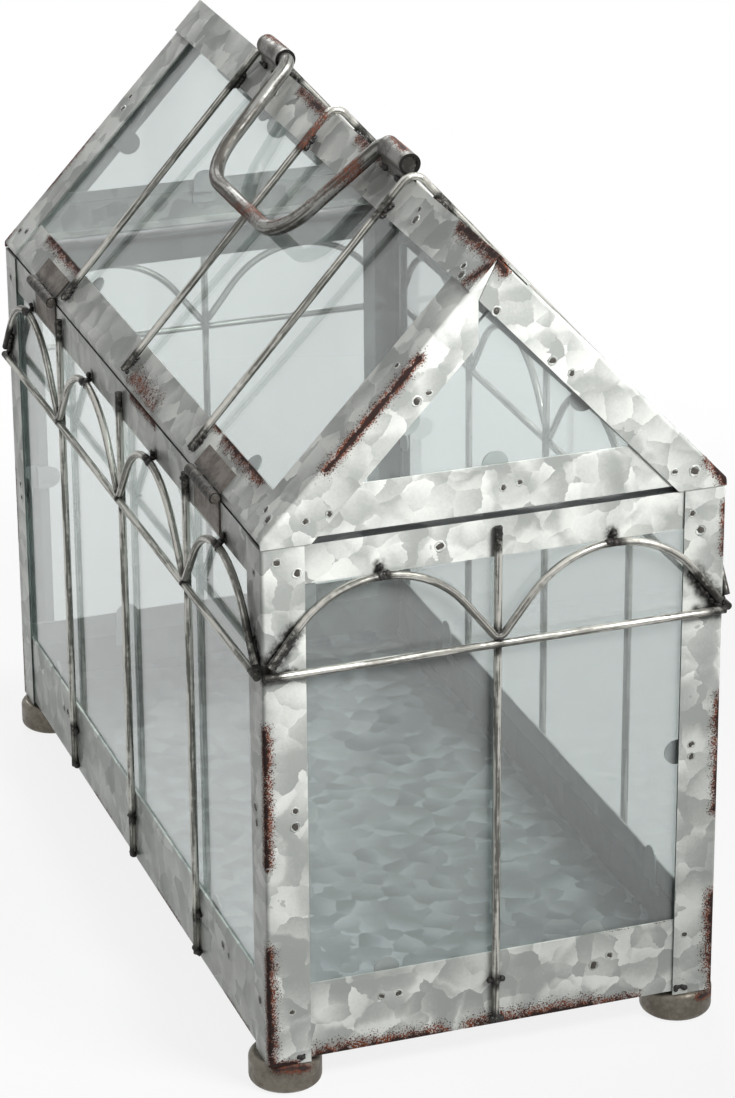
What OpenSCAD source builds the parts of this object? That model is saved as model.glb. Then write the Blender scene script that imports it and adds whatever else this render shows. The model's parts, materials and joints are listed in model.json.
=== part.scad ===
// Tabletop greenhouse of galvanised sheet, glass and steel wire.
// The case stands on four button feet, and the pitched lid swings open on two hinges
// along the left eave. A bail handle swings in two eyes on the ridge.
// The front gable faces -Y, the hinges are on the -X side, and Z is up.

/* [Case] */
// Width across the corner posts
case_w = 180; // [150:1:240]
// Length across the corner posts
case_l = 356; // [300:1:480]
// Height of the corner posts
wall_h = 210; // [160:1:300]
// Thickness of the galvanised sheet
sheet = 0.8; // [0.5:0.1:1.1]
// Width of each flange of a corner post
post_flange = 16.5; // [14:0.5:22]
// Outside radius of the folded corners
fold_r = 1.5; // [1.2:0.1:2.4]
// Height of the bottom rails
bottom_rail_h = 31; // [24:0.5:45]
// Lift of the bottom rails above the ends of the posts
rail_lift = 1.5; // [0.5:0.1:4]
// Height of the top rails
top_rail_h = 15; // [12:0.5:22]
// Width of the lips that are folded in along the rails
lip_w = 8; // [6:0.5:10]
// Height of the floor pan's rim
pan_rim = 3; // [2:0.5:6]

/* [Feet] */
// Diameter of a foot
foot_d = 28; // [22:1:34]
// Height of a foot
foot_h = 12; // [8:0.5:20]
// Distance of a foot's centre from the side of the case
foot_in_x = 10; // [8:0.5:14]
// Distance of a foot's centre from the end of the case
foot_in_y = 12; // [8:0.5:16]
// Radius of a foot's rounded edges
foot_round = 2.5; // [1:0.5:3.5]

/* [Glass] */
// Thickness of the panes
glass = 2; // [1.5:0.1:3]
// How far a wall pane reaches behind the top and bottom rails
rail_lap = 10; // [6:0.5:11]
// How far a pane reaches behind the posts and the lid's strips
strip_lap = 4.5; // [3:0.5:6]

/* [Glass clips] */
// Width of a clip, with a round tongue
clip_w = 10; // [7:0.5:12]
// Thickness of a clip
clip_t = 0.6; // [0.4:0.1:0.8]
// Length of the foot that is welded to the strip
clip_foot = 6; // [4:0.5:7]
// How far the tongue shows past the strip's edge
clip_show = 4.5; // [2:0.5:6]

/* [Wire tracery] */
// Diameter of the wire
wire_d = 3; // [2:0.1:3.6]
// Rise of the arches
arch_rise = 30.5; // [24:0.5:40]
// Steepness of the arches' straight legs, in degrees
arch_angle = 52; // [45:1:58]
// Radius of the wire's bend between two arches
vee_r = 3; // [2:0.1:4]
// Number of arches on the front and back
end_bays = 2; // [2:1:3]
// Number of arches on each long side
side_bays = 4; // [4:1:6]
// Height of the mullions' lower ends
mullion_low = 3.5; // [2:0.5:10]
// Depth of the mullions' upper ends below the top of the posts
mullion_drop = 3; // [2:0.5:8]
// Distance of the crossbar's and arches' axis from the face of the posts
cross_out = 2.1; // [1.9:0.1:2.6]

/* [Lid] */
// Height of the ridge above the eaves
roof_rise = 96; // [80:1:120]
// Height of the upright edge below the eaves
fascia_h = 3; // [2:0.5:6]
// Inset of the eave rails from the rails of the case
lid_inset = 0.5; // [0.3:0.1:1]
// Width of the rake angles on the gable
rake_w = 16; // [13:0.5:20]
// Width of the rake angles on the slope
rake_slope_w = 18.5; // [15:0.5:22]
// Width of the eave rails on the slope
eave_w = 16; // [13:0.5:20]
// Width of the ridge cap on each slope
ridge_w = 16; // [14:0.5:20]
// Height of the gable rails
gable_rail_h = 18; // [14:0.5:22]
// Lift of the gable rails above the bottom of the lid
gable_lift = 2.2; // [1:0.1:4]
// How far the upper rake angle runs on past the apex
apex_lap = 7.5; // [5:0.5:10]

/* [Roof wires] */
// Distance of the wires' ends from the edge of the eaves
wire_start = 3; // [2:0.5:6]
// Room between the wires and the ridge cap's lower edge
ridge_room = 1; // [0.8:0.1:1.5]

/* [Hinges] */
// Distance of each hinge's middle from the mullion beside it
hinge_off = 24; // [20:1:34]
// Length of the hinge leaves
leaf_l = 31; // [26:1:36]
// Height of the leaf on the wall
wall_leaf_h = 13; // [9:0.5:14]
// Length of the leaf up the slope
roof_leaf_h = 9.5; // [7:0.5:12]
// Diameter of the knuckles
knuckle_d = 4.4; // [4:0.1:4.8]
// Diameter of the pins
pin_d = 2; // [1.6:0.1:2.4]
// Diameter of the pins' heads
pin_head_d = 3.4; // [2.8:0.1:4]
// Height of the hinge axis above the posts
hinge_rise = 1.7; // [1.5:0.1:1.9]

/* [Handle] */
// Diameter of the handle's rod
rod_d = 6; // [5:0.1:6.4]
// Depth of the handle from its axis to the grip
handle_drop = 54; // [48:1:70]
// Lean of the arms towards each other, in degrees
arm_lean = 13; // [8:1:16]
// Radius of the bends beside the eyes
arm_bend_r = 5.5; // [5:0.5:8]
// Radius of the bends at the grip
grip_bend_r = 22; // [16:1:24]
// Outside diameter of the eyes
eye_d = 8.6; // [8.4:0.1:10]
// Length of an eye
eye_l = 24; // [18:1:25]
// Room between an eye and the roof wire beside it
eye_room = 2; // [1:0.1:5]
// Height of the handle's axis above the ridge
eye_rise = 6.3; // [6:0.1:8]
// Width of the weld foot under an eye
eye_neck = 5; // [4:0.5:6]

/* [Hidden] */
$fn = 48;
// Gap between pieces that seat on each other
seat = 0.1;
// Gap between the lid and the case
lid_gap = 0.4;
// Gap of a seam between two strips in one plane
seam = 0.3;
// Running clearance of pins and rods, on the radius
run_fit = 0.08;
// Gap between the knuckles of a hinge, and round them
knuckle_gap = 0.4;
// Gap between a pane's edge and its clips
clip_gap = 0.3;
// Overrun of cuts
over = 5;
// Sides of the swept wires and of the handle's rod, and the most that one facet turns, in degrees
wire_sides = 12;
rod_sides = 20;
bend_step = 13;
// Knuckles of a hinge, every second one on the lid
knuckle_count = 5;
// Places of the clips, as shares of the strip that carries them
post_clip_share = 0.49;
end_clip_shares = [-0.235, 0.225];
side_clip_shares = [-0.35, 0.3];
eave_clip_shares = [-0.365, 0.22];
ridge_clip_shares = [-0.3, 0.165];
rake_clip_share = 0.6;
gable_clip_share = 0.5;

half_w = case_w / 2;
half_l = case_l / 2;
rail_top = rail_lift + bottom_rail_h;
top_z = foot_h + wall_h;
lid_z = top_z + lid_gap;
eave_z = lid_z + fascia_h;
ridge_z = eave_z + roof_rise;
pitch = atan(roof_rise / half_w);
slope_l = half_w / cos(pitch);
cap_top = ridge_z + sheet / cos(pitch);
eave_x = half_w - sheet - lid_inset;
side_bay = case_l / side_bays;
// Distance of the outer roof wires and side mullions from the middle
outer_wire_y = half_l - side_bay;

// Wire tracery
arch_top = wall_h - top_rail_h;
vee_z = arch_top - arch_rise;
transom_z = vee_z - wire_d - seat;
mullion_out = wire_d / 2 - sheet + seat;

// Roof wires: they rise a little from the eave, so that they clear the ridge cap
wire_lean = atan((2 * sheet + ridge_room) / (slope_l - ridge_w - wire_start));
wire_low = wire_d / 2 - sheet + seat;
wire_angle = pitch + wire_lean;
wire_high = wire_low + (slope_l - wire_start) * tan(wire_lean);
wire_peak = (wire_high / cos(pitch)) - sheet / cos(pitch) - wire_d / 2 - seat;
wire_bend_r = wire_peak / (1 / cos(wire_angle) - 1);

// Hinges
hinge_x = -half_w + sheet - knuckle_d / 2;
hinge_y = outer_wire_y + hinge_off;
hinge_z = top_z + hinge_rise;
knuckle_l = (leaf_l - (knuckle_count - 1) * knuckle_gap) / knuckle_count;

// Handle
eye_z = ridge_z + eye_rise;
eye_in = outer_wire_y - wire_d / 2 - eye_room - eye_l;
grip_u = slope_l + eye_rise * sin(pitch) - handle_drop;
grip_out = wire_low + (grip_u - wire_start) * tan(wire_lean) + wire_d / 2 + rod_d / 2 + seam;
handle_tilt = asin((grip_out - eye_rise * cos(pitch)) / handle_drop);
handle_angle = pitch - handle_tilt;

// A point of the left slope's section: distance up the slope, and depth below its face
function slope_point(up, depth) = [
    -half_w + up * cos(pitch) + depth * sin(pitch),
    eave_z + up * sin(pitch) - depth * cos(pitch)
];
function across(point) = [-point[0], point[1]];
// Height of the left slope's face, at a depth below it, over a place x
function slope_z(x, depth) = eave_z + (x + half_w) * tan(pitch) - depth / cos(pitch);
// Half the width between the slopes' faces, at a depth below them, at a height
function slope_x(z, depth) = half_w - (z - eave_z + depth / cos(pitch)) / tan(pitch);

// Stands the children on a wall: x along it, y up from the end of the posts, z outwards
module on_wall(turn, depth)
    rotate([0, 0, turn]) translate([0, -depth, foot_h]) rotate([90, 0, 0]) children();

// Stands the children on the left slope: x into the lid, y along the ridge, z up the slope
module on_slope()
    translate([-half_w, 0, eave_z]) rotate([0, 90 - pitch, 0]) children();

// Sets the children at a place, with their x axis along side and their z axis along ahead
module set_at(place, side, ahead) {
    third = cross(ahead, side);
    multmatrix([
        [side[0], third[0], ahead[0], place[0]],
        [side[1], third[1], ahead[1], place[1]],
        [side[2], third[2], ahead[2], place[2]]
    ]) children();
}

// Extrudes a section drawn across the case, x and z, along the case
module along_case(length)
    rotate([90, 0, 0]) linear_extrude(length, center = true) children();

// Section of a strip folded to a right angle, with its outer corner at the origin
module angle_section(first, second) {
    translate([fold_r, 0]) square([first - fold_r, sheet]);
    translate([0, fold_r]) square([sheet, second - fold_r]);
    intersection() {
        square(fold_r);
        translate([fold_r, fold_r]) difference() {
            circle(fold_r);
            circle(fold_r - sheet);
        }
    }
}

// Stations along a bent rod in the plane of x and z: [x, z, heading], with the heading from z to x.
// Each step is a straight length, then a bend: its radius, its angle and its side, 1 or -1 of x
function stations(steps, i = 0, at = [0, 0, 0]) =
    i == len(steps) ? [at] : let (
        length = steps[i][0],
        radius = steps[i][1],
        angle = steps[i][2],
        side = steps[i][3],
        parts = max(1, ceil(angle / bend_step)),
        x = at[0] + length * sin(at[2]),
        z = at[1] + length * cos(at[2]),
        centre = [x + side * radius * cos(at[2]), z - side * radius * sin(at[2])],
        bend = [
            for (k = [0 : parts]) let (heading = at[2] + side * angle * k / parts)
                [centre[0] - side * radius * cos(heading), centre[1] + side * radius * sin(heading), heading]
        ],
        tail = angle > 0 ? [for (k = [0 : parts - 1]) bend[k]] : []
    ) concat([at], tail, stations(steps, i + 1, bend[parts]));

// A bent rod swept along its stations, starting at the origin along z
module bent_rod(diameter, steps, sides) {
    path = stations(steps);
    radius = diameter / 2 / cos(180 / sides);
    rings = len(path);
    points = [
        for (s = path, j = [0 : sides - 1])
            [
                s[0] + radius * cos((j + 0.5) * 360 / sides) * cos(s[2]),
                radius * sin((j + 0.5) * 360 / sides),
                s[1] - radius * cos((j + 0.5) * 360 / sides) * sin(s[2])
            ]
    ];
    walls = [
        for (i = [0 : rings - 2], j = [0 : sides - 1]) let (k = (j + 1) % sides)
            [(i + 1) * sides + j, (i + 1) * sides + k, i * sides + k, i * sides + j]
    ];
    first = [for (j = [0 : sides - 1]) j];
    last = [for (j = [sides - 1 : -1 : 0]) (rings - 1) * sides + j];
    polyhedron(points, concat(walls, [first, last]));
}

// Case

module floor_pan() {
    pan_w = case_w - 2 * (2 * sheet + glass);
    pan_l = case_l - 2 * (2 * sheet + glass);
    color("slategray") translate([0, 0, foot_h + rail_lift + sheet]) difference() {
        translate([-pan_w / 2, -pan_l / 2, 0]) cube([pan_w, pan_l, sheet + pan_rim]);
        translate([-pan_w / 2 + sheet, -pan_l / 2 + sheet, sheet])
            cube([pan_w - 2 * sheet, pan_l - 2 * sheet, pan_rim + over]);
    }
}

// A rail of the case: a strip behind the posts, with a lip folded in along one edge
module wall_rail(length, low, height, lip_length, lip_z) {
    color("silver") {
        translate([-length / 2, low, -2 * sheet]) cube([length, height, sheet]);
        translate([-lip_length / 2, lip_z, -2 * sheet - lip_w]) cube([lip_length, sheet, lip_w]);
    }
}

module end_rail(low, height, lip_z)
    wall_rail(case_w - 2 * fold_r, low, height, case_w - 4 * sheet, lip_z);

module side_rail(low, height, lip_z)
    wall_rail(case_l - 4 * sheet, low, height, case_l - 4 * sheet - 2 * lip_w, lip_z);

module bottom_end_rail(turn)
    on_wall(turn, half_l) end_rail(rail_lift, bottom_rail_h, rail_lift);

module bottom_side_rail(turn)
    on_wall(turn, half_w) side_rail(rail_lift, bottom_rail_h, rail_lift);

module top_end_rail(turn)
    on_wall(turn, half_l) end_rail(wall_h - top_rail_h, top_rail_h, wall_h - sheet);

module top_side_rail(turn)
    on_wall(turn, half_w) side_rail(wall_h - top_rail_h, top_rail_h, wall_h - sheet);

module corner_post() {
    color("gainsboro") translate([-half_w, -half_l, foot_h]) linear_extrude(wall_h)
        angle_section(post_flange, post_flange);
}

module wall_pane(span) {
    pane_w = span - 2 * (post_flange - strip_lap);
    low = rail_top - rail_lap;
    high = wall_h - top_rail_h + rail_lap;
    color("lightcyan", 0.3) translate([-pane_w / 2, low, -2 * sheet - glass])
        cube([pane_w, high - low, glass]);
}

// Wire arches in one bent length, from post to post, over a row of bays
module arch_wire(span, bays) {
    bay = span / bays;
    bends_r = (bay / 2 * tan(arch_angle) - arch_rise) * cos(arch_angle) / (1 - cos(arch_angle));
    arch_r = bends_r - vee_r;
    leg = (bay / 2 - bends_r * sin(arch_angle)) / cos(arch_angle);
    end_rise = arch_rise - arch_r * (1 - cos(arch_angle)) - wire_d / 2 * cos(arch_angle);
    end_leg = end_rise / sin(arch_angle);
    end_x = arch_r * sin(arch_angle) + end_leg * cos(arch_angle);
    end_z = arch_top - arch_r * (1 - cos(arch_angle)) - end_leg * sin(arch_angle);
    steps = [
        for (i = [0 : 2 * bays - 1])
            i % 2 == 0
                ? [i == 0 ? end_leg : leg, arch_r, 2 * arch_angle, 1]
                : i < 2 * bays - 1
                    ? [leg, vee_r, 2 * arch_angle, -1]
                    : [end_leg, 0, 0, 1]
    ];
    heading = [cos(arch_angle), sin(arch_angle), 0];
    inwards = [sin(arch_angle), -cos(arch_angle), 0];
    set_at([-span / 2 + bay / 2 - end_x, end_z, cross_out], inwards, heading)
        bent_rod(wire_d, steps, wire_sides);
}

module crossbar(span)
    translate([-span / 2, transom_z, cross_out]) rotate([0, 90, 0]) cylinder(d = wire_d, h = span);

// Crossbar, arches and mullions of one wall; the mullions are coped where the others cross them
module tracery(turn, depth, span, bays) {
    bay = span / bays;
    cope_low = transom_z - wire_d / 2 - seat;
    cope_h = vee_z - transom_z + 2 * wire_d;
    cope_out = cross_out - wire_d / 2 - seat;
    color("darkgray") on_wall(turn, depth) {
        crossbar(span);
        arch_wire(span, bays);
        for (i = [1 : bays - 1]) translate([-span / 2 + i * bay, 0, 0]) difference() {
            translate([0, mullion_low, mullion_out]) rotate([-90, 0, 0])
                cylinder(d = wire_d, h = wall_h - mullion_drop - mullion_low);
            translate([-wire_d, cope_low, cope_out]) cube([2 * wire_d, cope_h, 2 * wire_d]);
        }
    }
}

module feet() {
    color("dimgray") for (x = [-1, 1], y = [-1, 1])
        translate([x * (half_w - foot_in_x), y * (half_l - foot_in_y), 0]) rotate_extrude() {
            square([foot_d / 2 - foot_round, foot_h]);
            translate([0, foot_round]) square([foot_d / 2, foot_h - 2 * foot_round]);
            translate([foot_d / 2 - foot_round, foot_round]) circle(foot_round);
            translate([foot_d / 2 - foot_round, foot_h - foot_round]) circle(foot_round);
        }
}

// A glass clip on the face of its strip: x towards the pane, z inwards, with the pane's edge at 0
module clip(rise, reach) {
    straight = reach + clip_gap + clip_t - clip_w / 2;
    translate([-clip_gap, -clip_w / 2, 0]) {
        translate([-clip_foot, 0, 0]) cube([clip_foot, clip_w, clip_t]);
        translate([-clip_t, 0, 0]) cube([clip_t, clip_w, rise + clip_t]);
        translate([-clip_t, 0, rise]) linear_extrude(clip_t) {
            square([straight, clip_w]);
            translate([straight, clip_w / 2]) circle(d = clip_w);
        }
    }
}

module one_wall_clips(turn, depth, span, shares) {
    edge_x = span / 2 - post_flange + strip_lap;
    on_wall(turn, depth) {
        for (side = [-1, 1])
            set_at([side * edge_x, post_clip_share * wall_h, -sheet], [-side, 0, 0], [0, 0, -1])
                clip(sheet + glass + seat, strip_lap + clip_show);
        for (share = shares)
            set_at([share * span, rail_top - rail_lap, -2 * sheet], [0, 1, 0], [0, 0, -1])
                clip(glass + seat, rail_lap + clip_show);
    }
}

module wall_clips() {
    color("gray") {
        for (turn = [0, 180]) one_wall_clips(turn, half_l, case_w, end_clip_shares);
        for (turn = [-90, 90]) one_wall_clips(turn, half_w, case_l, side_clip_shares);
    }
}

// Hinges

// Where a knuckle of a hinge starts, from the middle of the leaf
function knuckle_y(i) = -leaf_l / 2 + i * (knuckle_l + knuckle_gap);

// Extrudes a section, drawn in x and z, along one knuckle
module along_knuckle(i)
    translate([0, knuckle_y(i) + knuckle_l, 0]) rotate([90, 0, 0]) linear_extrude(knuckle_l) children();

// Section of a knuckle at a centre, rolled from a tab of the leaf that starts at a corner
module knuckle_section(centre, corner, tab) {
    difference() {
        union() {
            translate(corner) square(tab);
            translate(centre) circle(d = knuckle_d);
        }
        translate(centre) circle(pin_d / 2 + run_fit);
    }
}

module hinge_wall_leaf() {
    leaf_top = hinge_z - knuckle_d / 2 - knuckle_gap / 2;
    translate([-half_w, -leaf_l / 2, top_z - wall_leaf_h])
        cube([sheet, leaf_l, leaf_top - top_z + wall_leaf_h]);
    for (i = [0 : 2 : knuckle_count - 1]) along_knuckle(i)
        knuckle_section([hinge_x, hinge_z], [-half_w, leaf_top], [sheet, hinge_z - leaf_top]);
}

module hinge_wall_leaves()
    color("rosybrown") for (y = [-hinge_y, hinge_y]) translate([0, y, 0]) hinge_wall_leaf();

module hinge_roof_leaf() {
    axis_in = (hinge_x + half_w) * sin(pitch) - (hinge_z - eave_z) * cos(pitch);
    axis_up = (hinge_x + half_w) * cos(pitch) + (hinge_z - eave_z) * sin(pitch);
    leaf_low = axis_up + knuckle_d / 2 + knuckle_gap;
    on_slope() {
        translate([0, -leaf_l / 2, leaf_low]) cube([sheet, leaf_l, roof_leaf_h - leaf_low]);
        for (i = [1 : 2 : knuckle_count - 1]) along_knuckle(i)
            knuckle_section([axis_in, axis_up], [0, axis_up], [sheet, leaf_low - axis_up]);
    }
}

module hinge_roof_leaves()
    color("rosybrown") for (y = [-hinge_y, hinge_y]) translate([0, y, 0]) hinge_roof_leaf();

module hinge_pins() {
    head_l = pin_d / 2;
    color("dimgray") for (y = [-hinge_y, hinge_y]) translate([hinge_x, y, hinge_z]) rotate([90, 0, 0]) {
        cylinder(d = pin_d, h = leaf_l + 2 * seat, center = true);
        for (side = [-1, 1]) translate([0, 0, side * (leaf_l / 2 + seat + head_l / 2)])
            cylinder(d = pin_head_d, h = head_l, center = true);
    }
}

// Lid

// The side of the apex joint that belongs to the upper rake angle, drawn on the front gable
module apex_side(gap) {
    foot_x = -apex_lap - gap;
    foot_z = ridge_z - 2 * apex_lap;
    polygon([
        [-gap, cap_top + over], [-gap, ridge_z], [foot_x, foot_z], [foot_x, lid_z],
        [half_w + over, lid_z], [half_w + over, cap_top + over]
    ]);
}

// A rake angle on the left slope of the front gable, longer than needed at both ends
module rake_strip()
    on_slope() translate([0, -half_l, -over]) linear_extrude(slope_l + rake_w + 2 * over)
        angle_section(rake_w, rake_slope_w);

// Keeps what lies behind the upright edge of the eave
module lid_edge()
    translate([-half_w, -half_l - over, lid_z]) cube([case_w, case_l + 2 * over, ridge_z + over - lid_z]);

module upper_rake() {
    color("gainsboro") intersection() {
        mirror([1, 0, 0]) rake_strip();
        along_case(case_l + 2 * over) apex_side(0);
        lid_edge();
    }
}

module lower_rake() {
    color("gainsboro") intersection() {
        difference() {
            rake_strip();
            along_case(case_l + 2 * over) apex_side(seam);
        }
        lid_edge();
    }
}

module gable_rail() {
    low = lid_z + gable_lift;
    depth = fold_r + seat;
    foot_x = slope_x(lid_z, depth);
    lip_l = case_w - 2 * post_flange;
    color("silver") translate([0, -half_l + 2 * sheet, 0]) {
        rotate([90, 0, 0]) linear_extrude(sheet) intersection() {
            translate([-half_w + sheet, low]) square([case_w - 2 * sheet, gable_rail_h]);
            polygon([[-foot_x, lid_z], [foot_x, lid_z], [0, slope_z(0, depth)]]);
        }
        translate([-lip_l / 2, 0, low]) cube([lip_l, lip_w, sheet]);
    }
}

module ridge_cap() {
    low = slope_l - ridge_w;
    color("gainsboro") along_case(case_l) polygon([
        slope_point(low, -sheet), [0, cap_top], across(slope_point(low, -sheet)),
        across(slope_point(low, 0)), [0, ridge_z], slope_point(low, 0)
    ]);
}

module eave_rail() {
    inner_x = eave_x - sheet;
    color("silver") along_case(case_l - 4 * sheet) polygon([
        [-inner_x, lid_z], [-eave_x, lid_z], [-eave_x, slope_z(-eave_x, sheet)],
        slope_point(eave_w, sheet), slope_point(eave_w, 2 * sheet), [-inner_x, slope_z(-inner_x, 2 * sheet)]
    ]);
}

module slope_pane() {
    pane_l = case_l - 2 * (rake_slope_w - strip_lap);
    low = eave_w - strip_lap;
    high = slope_l - ridge_w + strip_lap;
    color("lightcyan", 0.3) on_slope() translate([2 * sheet, -pane_l / 2, low])
        cube([glass, pane_l, high - low]);
}

module gable_pane() {
    low = lid_z + gable_lift + gable_rail_h - strip_lap;
    depth = rake_w - strip_lap;
    half = slope_x(low, depth);
    color("lightcyan", 0.3) translate([0, -half_l + 2 * sheet + glass, 0]) rotate([90, 0, 0])
        linear_extrude(glass)
            polygon([[-half, low], [half, low], [0, slope_z(0, depth)]]);
}

module roof_wire() {
    start = slope_point(wire_start, -wire_low);
    length = (-start[0] - wire_bend_r * sin(wire_angle)) / cos(wire_angle);
    heading = [cos(wire_angle), 0, sin(wire_angle)];
    inwards = [sin(wire_angle), 0, -cos(wire_angle)];
    set_at([start[0], 0, start[1]], inwards, heading)
        bent_rod(wire_d, [[length, wire_bend_r, 2 * wire_angle, 1], [length, 0, 0, 1]], wire_sides);
}

module roof_wires()
    color("darkgray") for (i = [1 : side_bays - 1]) translate([0, -half_l + i * side_bay, 0]) roof_wire();

module slope_clips() {
    pane_edge_y = half_l - rake_slope_w + strip_lap;
    reach = strip_lap + clip_show;
    on_slope() {
        for (share = eave_clip_shares)
            set_at([2 * sheet, share * case_l, eave_w - strip_lap], [0, 0, 1], [1, 0, 0])
                clip(glass + seat, reach);
        for (share = ridge_clip_shares)
            set_at([0, share * case_l, slope_l - ridge_w + strip_lap], [0, 0, -1], [1, 0, 0])
                clip(2 * sheet + glass + seat, reach);
        for (side = [-1, 1])
            set_at([sheet, side * pane_edge_y, rake_clip_share * slope_l], [0, -side, 0], [1, 0, 0])
                clip(sheet + glass + seat, reach);
    }
}

module gable_clips() {
    reach = strip_lap + clip_show;
    rail_edge = lid_z + gable_lift + gable_rail_h - strip_lap;
    set_at([0, -half_l + 2 * sheet, rail_edge], [0, 0, 1], [0, 1, 0]) clip(glass + seat, reach);
    for (side = [0, 1]) mirror([side, 0, 0]) on_slope()
        set_at([rake_w - strip_lap, -half_l + sheet, gable_clip_share * slope_l], [1, 0, 0], [0, 1, 0])
            clip(sheet + glass + seat, reach);
}

module lid_clips() {
    color("gray") for (turn = [0, 180]) rotate([0, 0, turn]) {
        slope_clips();
        gable_clips();
    }
}

// Handle

module handle_eye() {
    color("gray") difference() {
        union() {
            rotate([90, 0, 0]) translate([0, eye_z, -eye_l]) cylinder(d = eye_d, h = eye_l);
            rotate([90, 0, 0]) translate([0, 0, -eye_l]) linear_extrude(eye_l) polygon([
                [-eye_neck / 2, cap_top + seat - eye_neck / 2 * tan(pitch)], [0, cap_top + seat],
                [eye_neck / 2, cap_top + seat - eye_neck / 2 * tan(pitch)],
                [eye_neck / 2, eye_z], [-eye_neck / 2, eye_z]
            ]);
        }
        rotate([90, 0, 0]) translate([0, eye_z, -eye_l - over])
            cylinder(r = rod_d / 2 + run_fit, h = eye_l + 2 * over);
    }
}

module handle_eyes()
    for (turn = [0, 180]) rotate([0, 0, turn]) translate([0, eye_in, 0]) handle_eye();

module handle() {
    pin_l = eye_l + seam - sheet;
    corner = 90 - arm_lean;
    bends_r = arm_bend_r + grip_bend_r;
    arm = (handle_drop - bends_r * (1 - sin(arm_lean))) / cos(arm_lean);
    grip = 2 * (eye_in - seam - bends_r * cos(arm_lean) - arm * sin(arm_lean));
    steps = [
        [pin_l, arm_bend_r, corner, 1], [arm, grip_bend_r, corner, -1],
        [grip, grip_bend_r, corner, -1], [arm, arm_bend_r, corner, 1], [pin_l, 0, 0, 1]
    ];
    down = [-cos(handle_angle), 0, -sin(handle_angle)];
    color("dimgray") set_at([0, eye_in - seam + pin_l, eye_z], down, [0, -1, 0])
        bent_rod(rod_d, steps, rod_sides);
}

floor_pan();
bottom_end_rail(0);  // bottom_rail_front
bottom_end_rail(180);  // bottom_rail_back
bottom_side_rail(-90);  // bottom_rail_left
bottom_side_rail(90);  // bottom_rail_right
top_end_rail(0);  // top_rail_front
top_end_rail(180);  // top_rail_back
top_side_rail(-90);  // top_rail_left
top_side_rail(90);  // top_rail_right
corner_post();  // post_front_left
mirror([1, 0, 0]) corner_post();  // post_front_right
mirror([0, 1, 0]) corner_post();  // post_back_left
rotate([0, 0, 180]) corner_post();  // post_back_right
on_wall(0, half_l) wall_pane(case_w);  // pane_front
on_wall(180, half_l) wall_pane(case_w);  // pane_back
on_wall(-90, half_w) wall_pane(case_l);  // pane_left
on_wall(90, half_w) wall_pane(case_l);  // pane_right
tracery(0, half_l, case_w, end_bays);  // tracery_front
tracery(180, half_l, case_w, end_bays);  // tracery_back
tracery(-90, half_w, case_l, side_bays);  // tracery_left
tracery(90, half_w, case_l, side_bays);  // tracery_right
feet();
wall_clips();
hinge_wall_leaves();
hinge_pins();
lower_rake();  // rake_front_left
upper_rake();  // rake_front_right
rotate([0, 0, 180]) upper_rake();  // rake_back_left
rotate([0, 0, 180]) lower_rake();  // rake_back_right
gable_rail();  // gable_rail_front
rotate([0, 0, 180]) gable_rail();  // gable_rail_back
ridge_cap();
eave_rail();  // eave_rail_left
mirror([1, 0, 0]) eave_rail();  // eave_rail_right
slope_pane();  // slope_pane_left
mirror([1, 0, 0]) slope_pane();  // slope_pane_right
gable_pane();  // gable_pane_front
rotate([0, 0, 180]) gable_pane();  // gable_pane_back
roof_wires();
lid_clips();
hinge_roof_leaves();
handle_eyes();
handle();
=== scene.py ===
"""Tabletop greenhouse: galvanised strips, glass, wire arches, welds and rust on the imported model."""
import json
import math

import bpy
from bpy.props import FloatProperty, FloatVectorProperty, PointerProperty
from mathutils import Matrix, Vector


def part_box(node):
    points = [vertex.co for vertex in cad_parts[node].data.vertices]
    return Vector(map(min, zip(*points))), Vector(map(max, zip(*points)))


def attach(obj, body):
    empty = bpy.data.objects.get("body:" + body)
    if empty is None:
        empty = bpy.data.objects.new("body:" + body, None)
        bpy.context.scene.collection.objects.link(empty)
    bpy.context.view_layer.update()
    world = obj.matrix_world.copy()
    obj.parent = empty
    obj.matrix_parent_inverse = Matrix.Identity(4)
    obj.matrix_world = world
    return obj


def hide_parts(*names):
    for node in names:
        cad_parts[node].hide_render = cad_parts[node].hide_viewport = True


bl_info = {
    "name": "Tabletop greenhouse",
    "version": (1, 0, 0),
    "blender": (4, 5, 0),
    "location": "View3D > Sidebar > Greenhouse",
    "description": "Dresses a sheet and glass greenhouse case with its finishes, wires and welds",
    "category": "Object",
}

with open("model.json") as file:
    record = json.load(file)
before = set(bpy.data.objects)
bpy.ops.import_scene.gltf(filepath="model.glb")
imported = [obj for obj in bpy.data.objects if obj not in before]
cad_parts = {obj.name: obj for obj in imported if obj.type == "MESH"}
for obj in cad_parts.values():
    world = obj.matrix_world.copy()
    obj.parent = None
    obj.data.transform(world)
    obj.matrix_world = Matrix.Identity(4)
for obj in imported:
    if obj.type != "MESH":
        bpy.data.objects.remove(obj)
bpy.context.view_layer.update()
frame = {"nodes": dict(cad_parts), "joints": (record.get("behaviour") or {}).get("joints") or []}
NODES = frame["nodes"]

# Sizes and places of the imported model, in millimetres

MM = 0.001
LID_AXIS, HANDLE_AXIS = (Vector(joint["pos_m"]) / MM for joint in frame["joints"])
POST_LOW, POST_HIGH = (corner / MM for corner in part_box("post_front_left"))
WIDE, LONG, LOW = -POST_LOW.x, -POST_LOW.y, POST_LOW.z
TALL = POST_HIGH.z - LOW
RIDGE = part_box("ridge_cap")[1].z / MM
EAVE_EDGE = 3.0
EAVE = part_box("eave_rail_left")[0].z / MM + EAVE_EDGE
PITCH = math.atan2(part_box("rake_front_right")[1].z / MM - EAVE, WIDE)
SLOPE_LENGTH = 131.6
STRIP_WIDTH = 16.0
ROOF_WIRE_PLACES = [i * LONG / 2 - LONG for i in (1, 2, 3)]


# Values that a user may change

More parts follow.
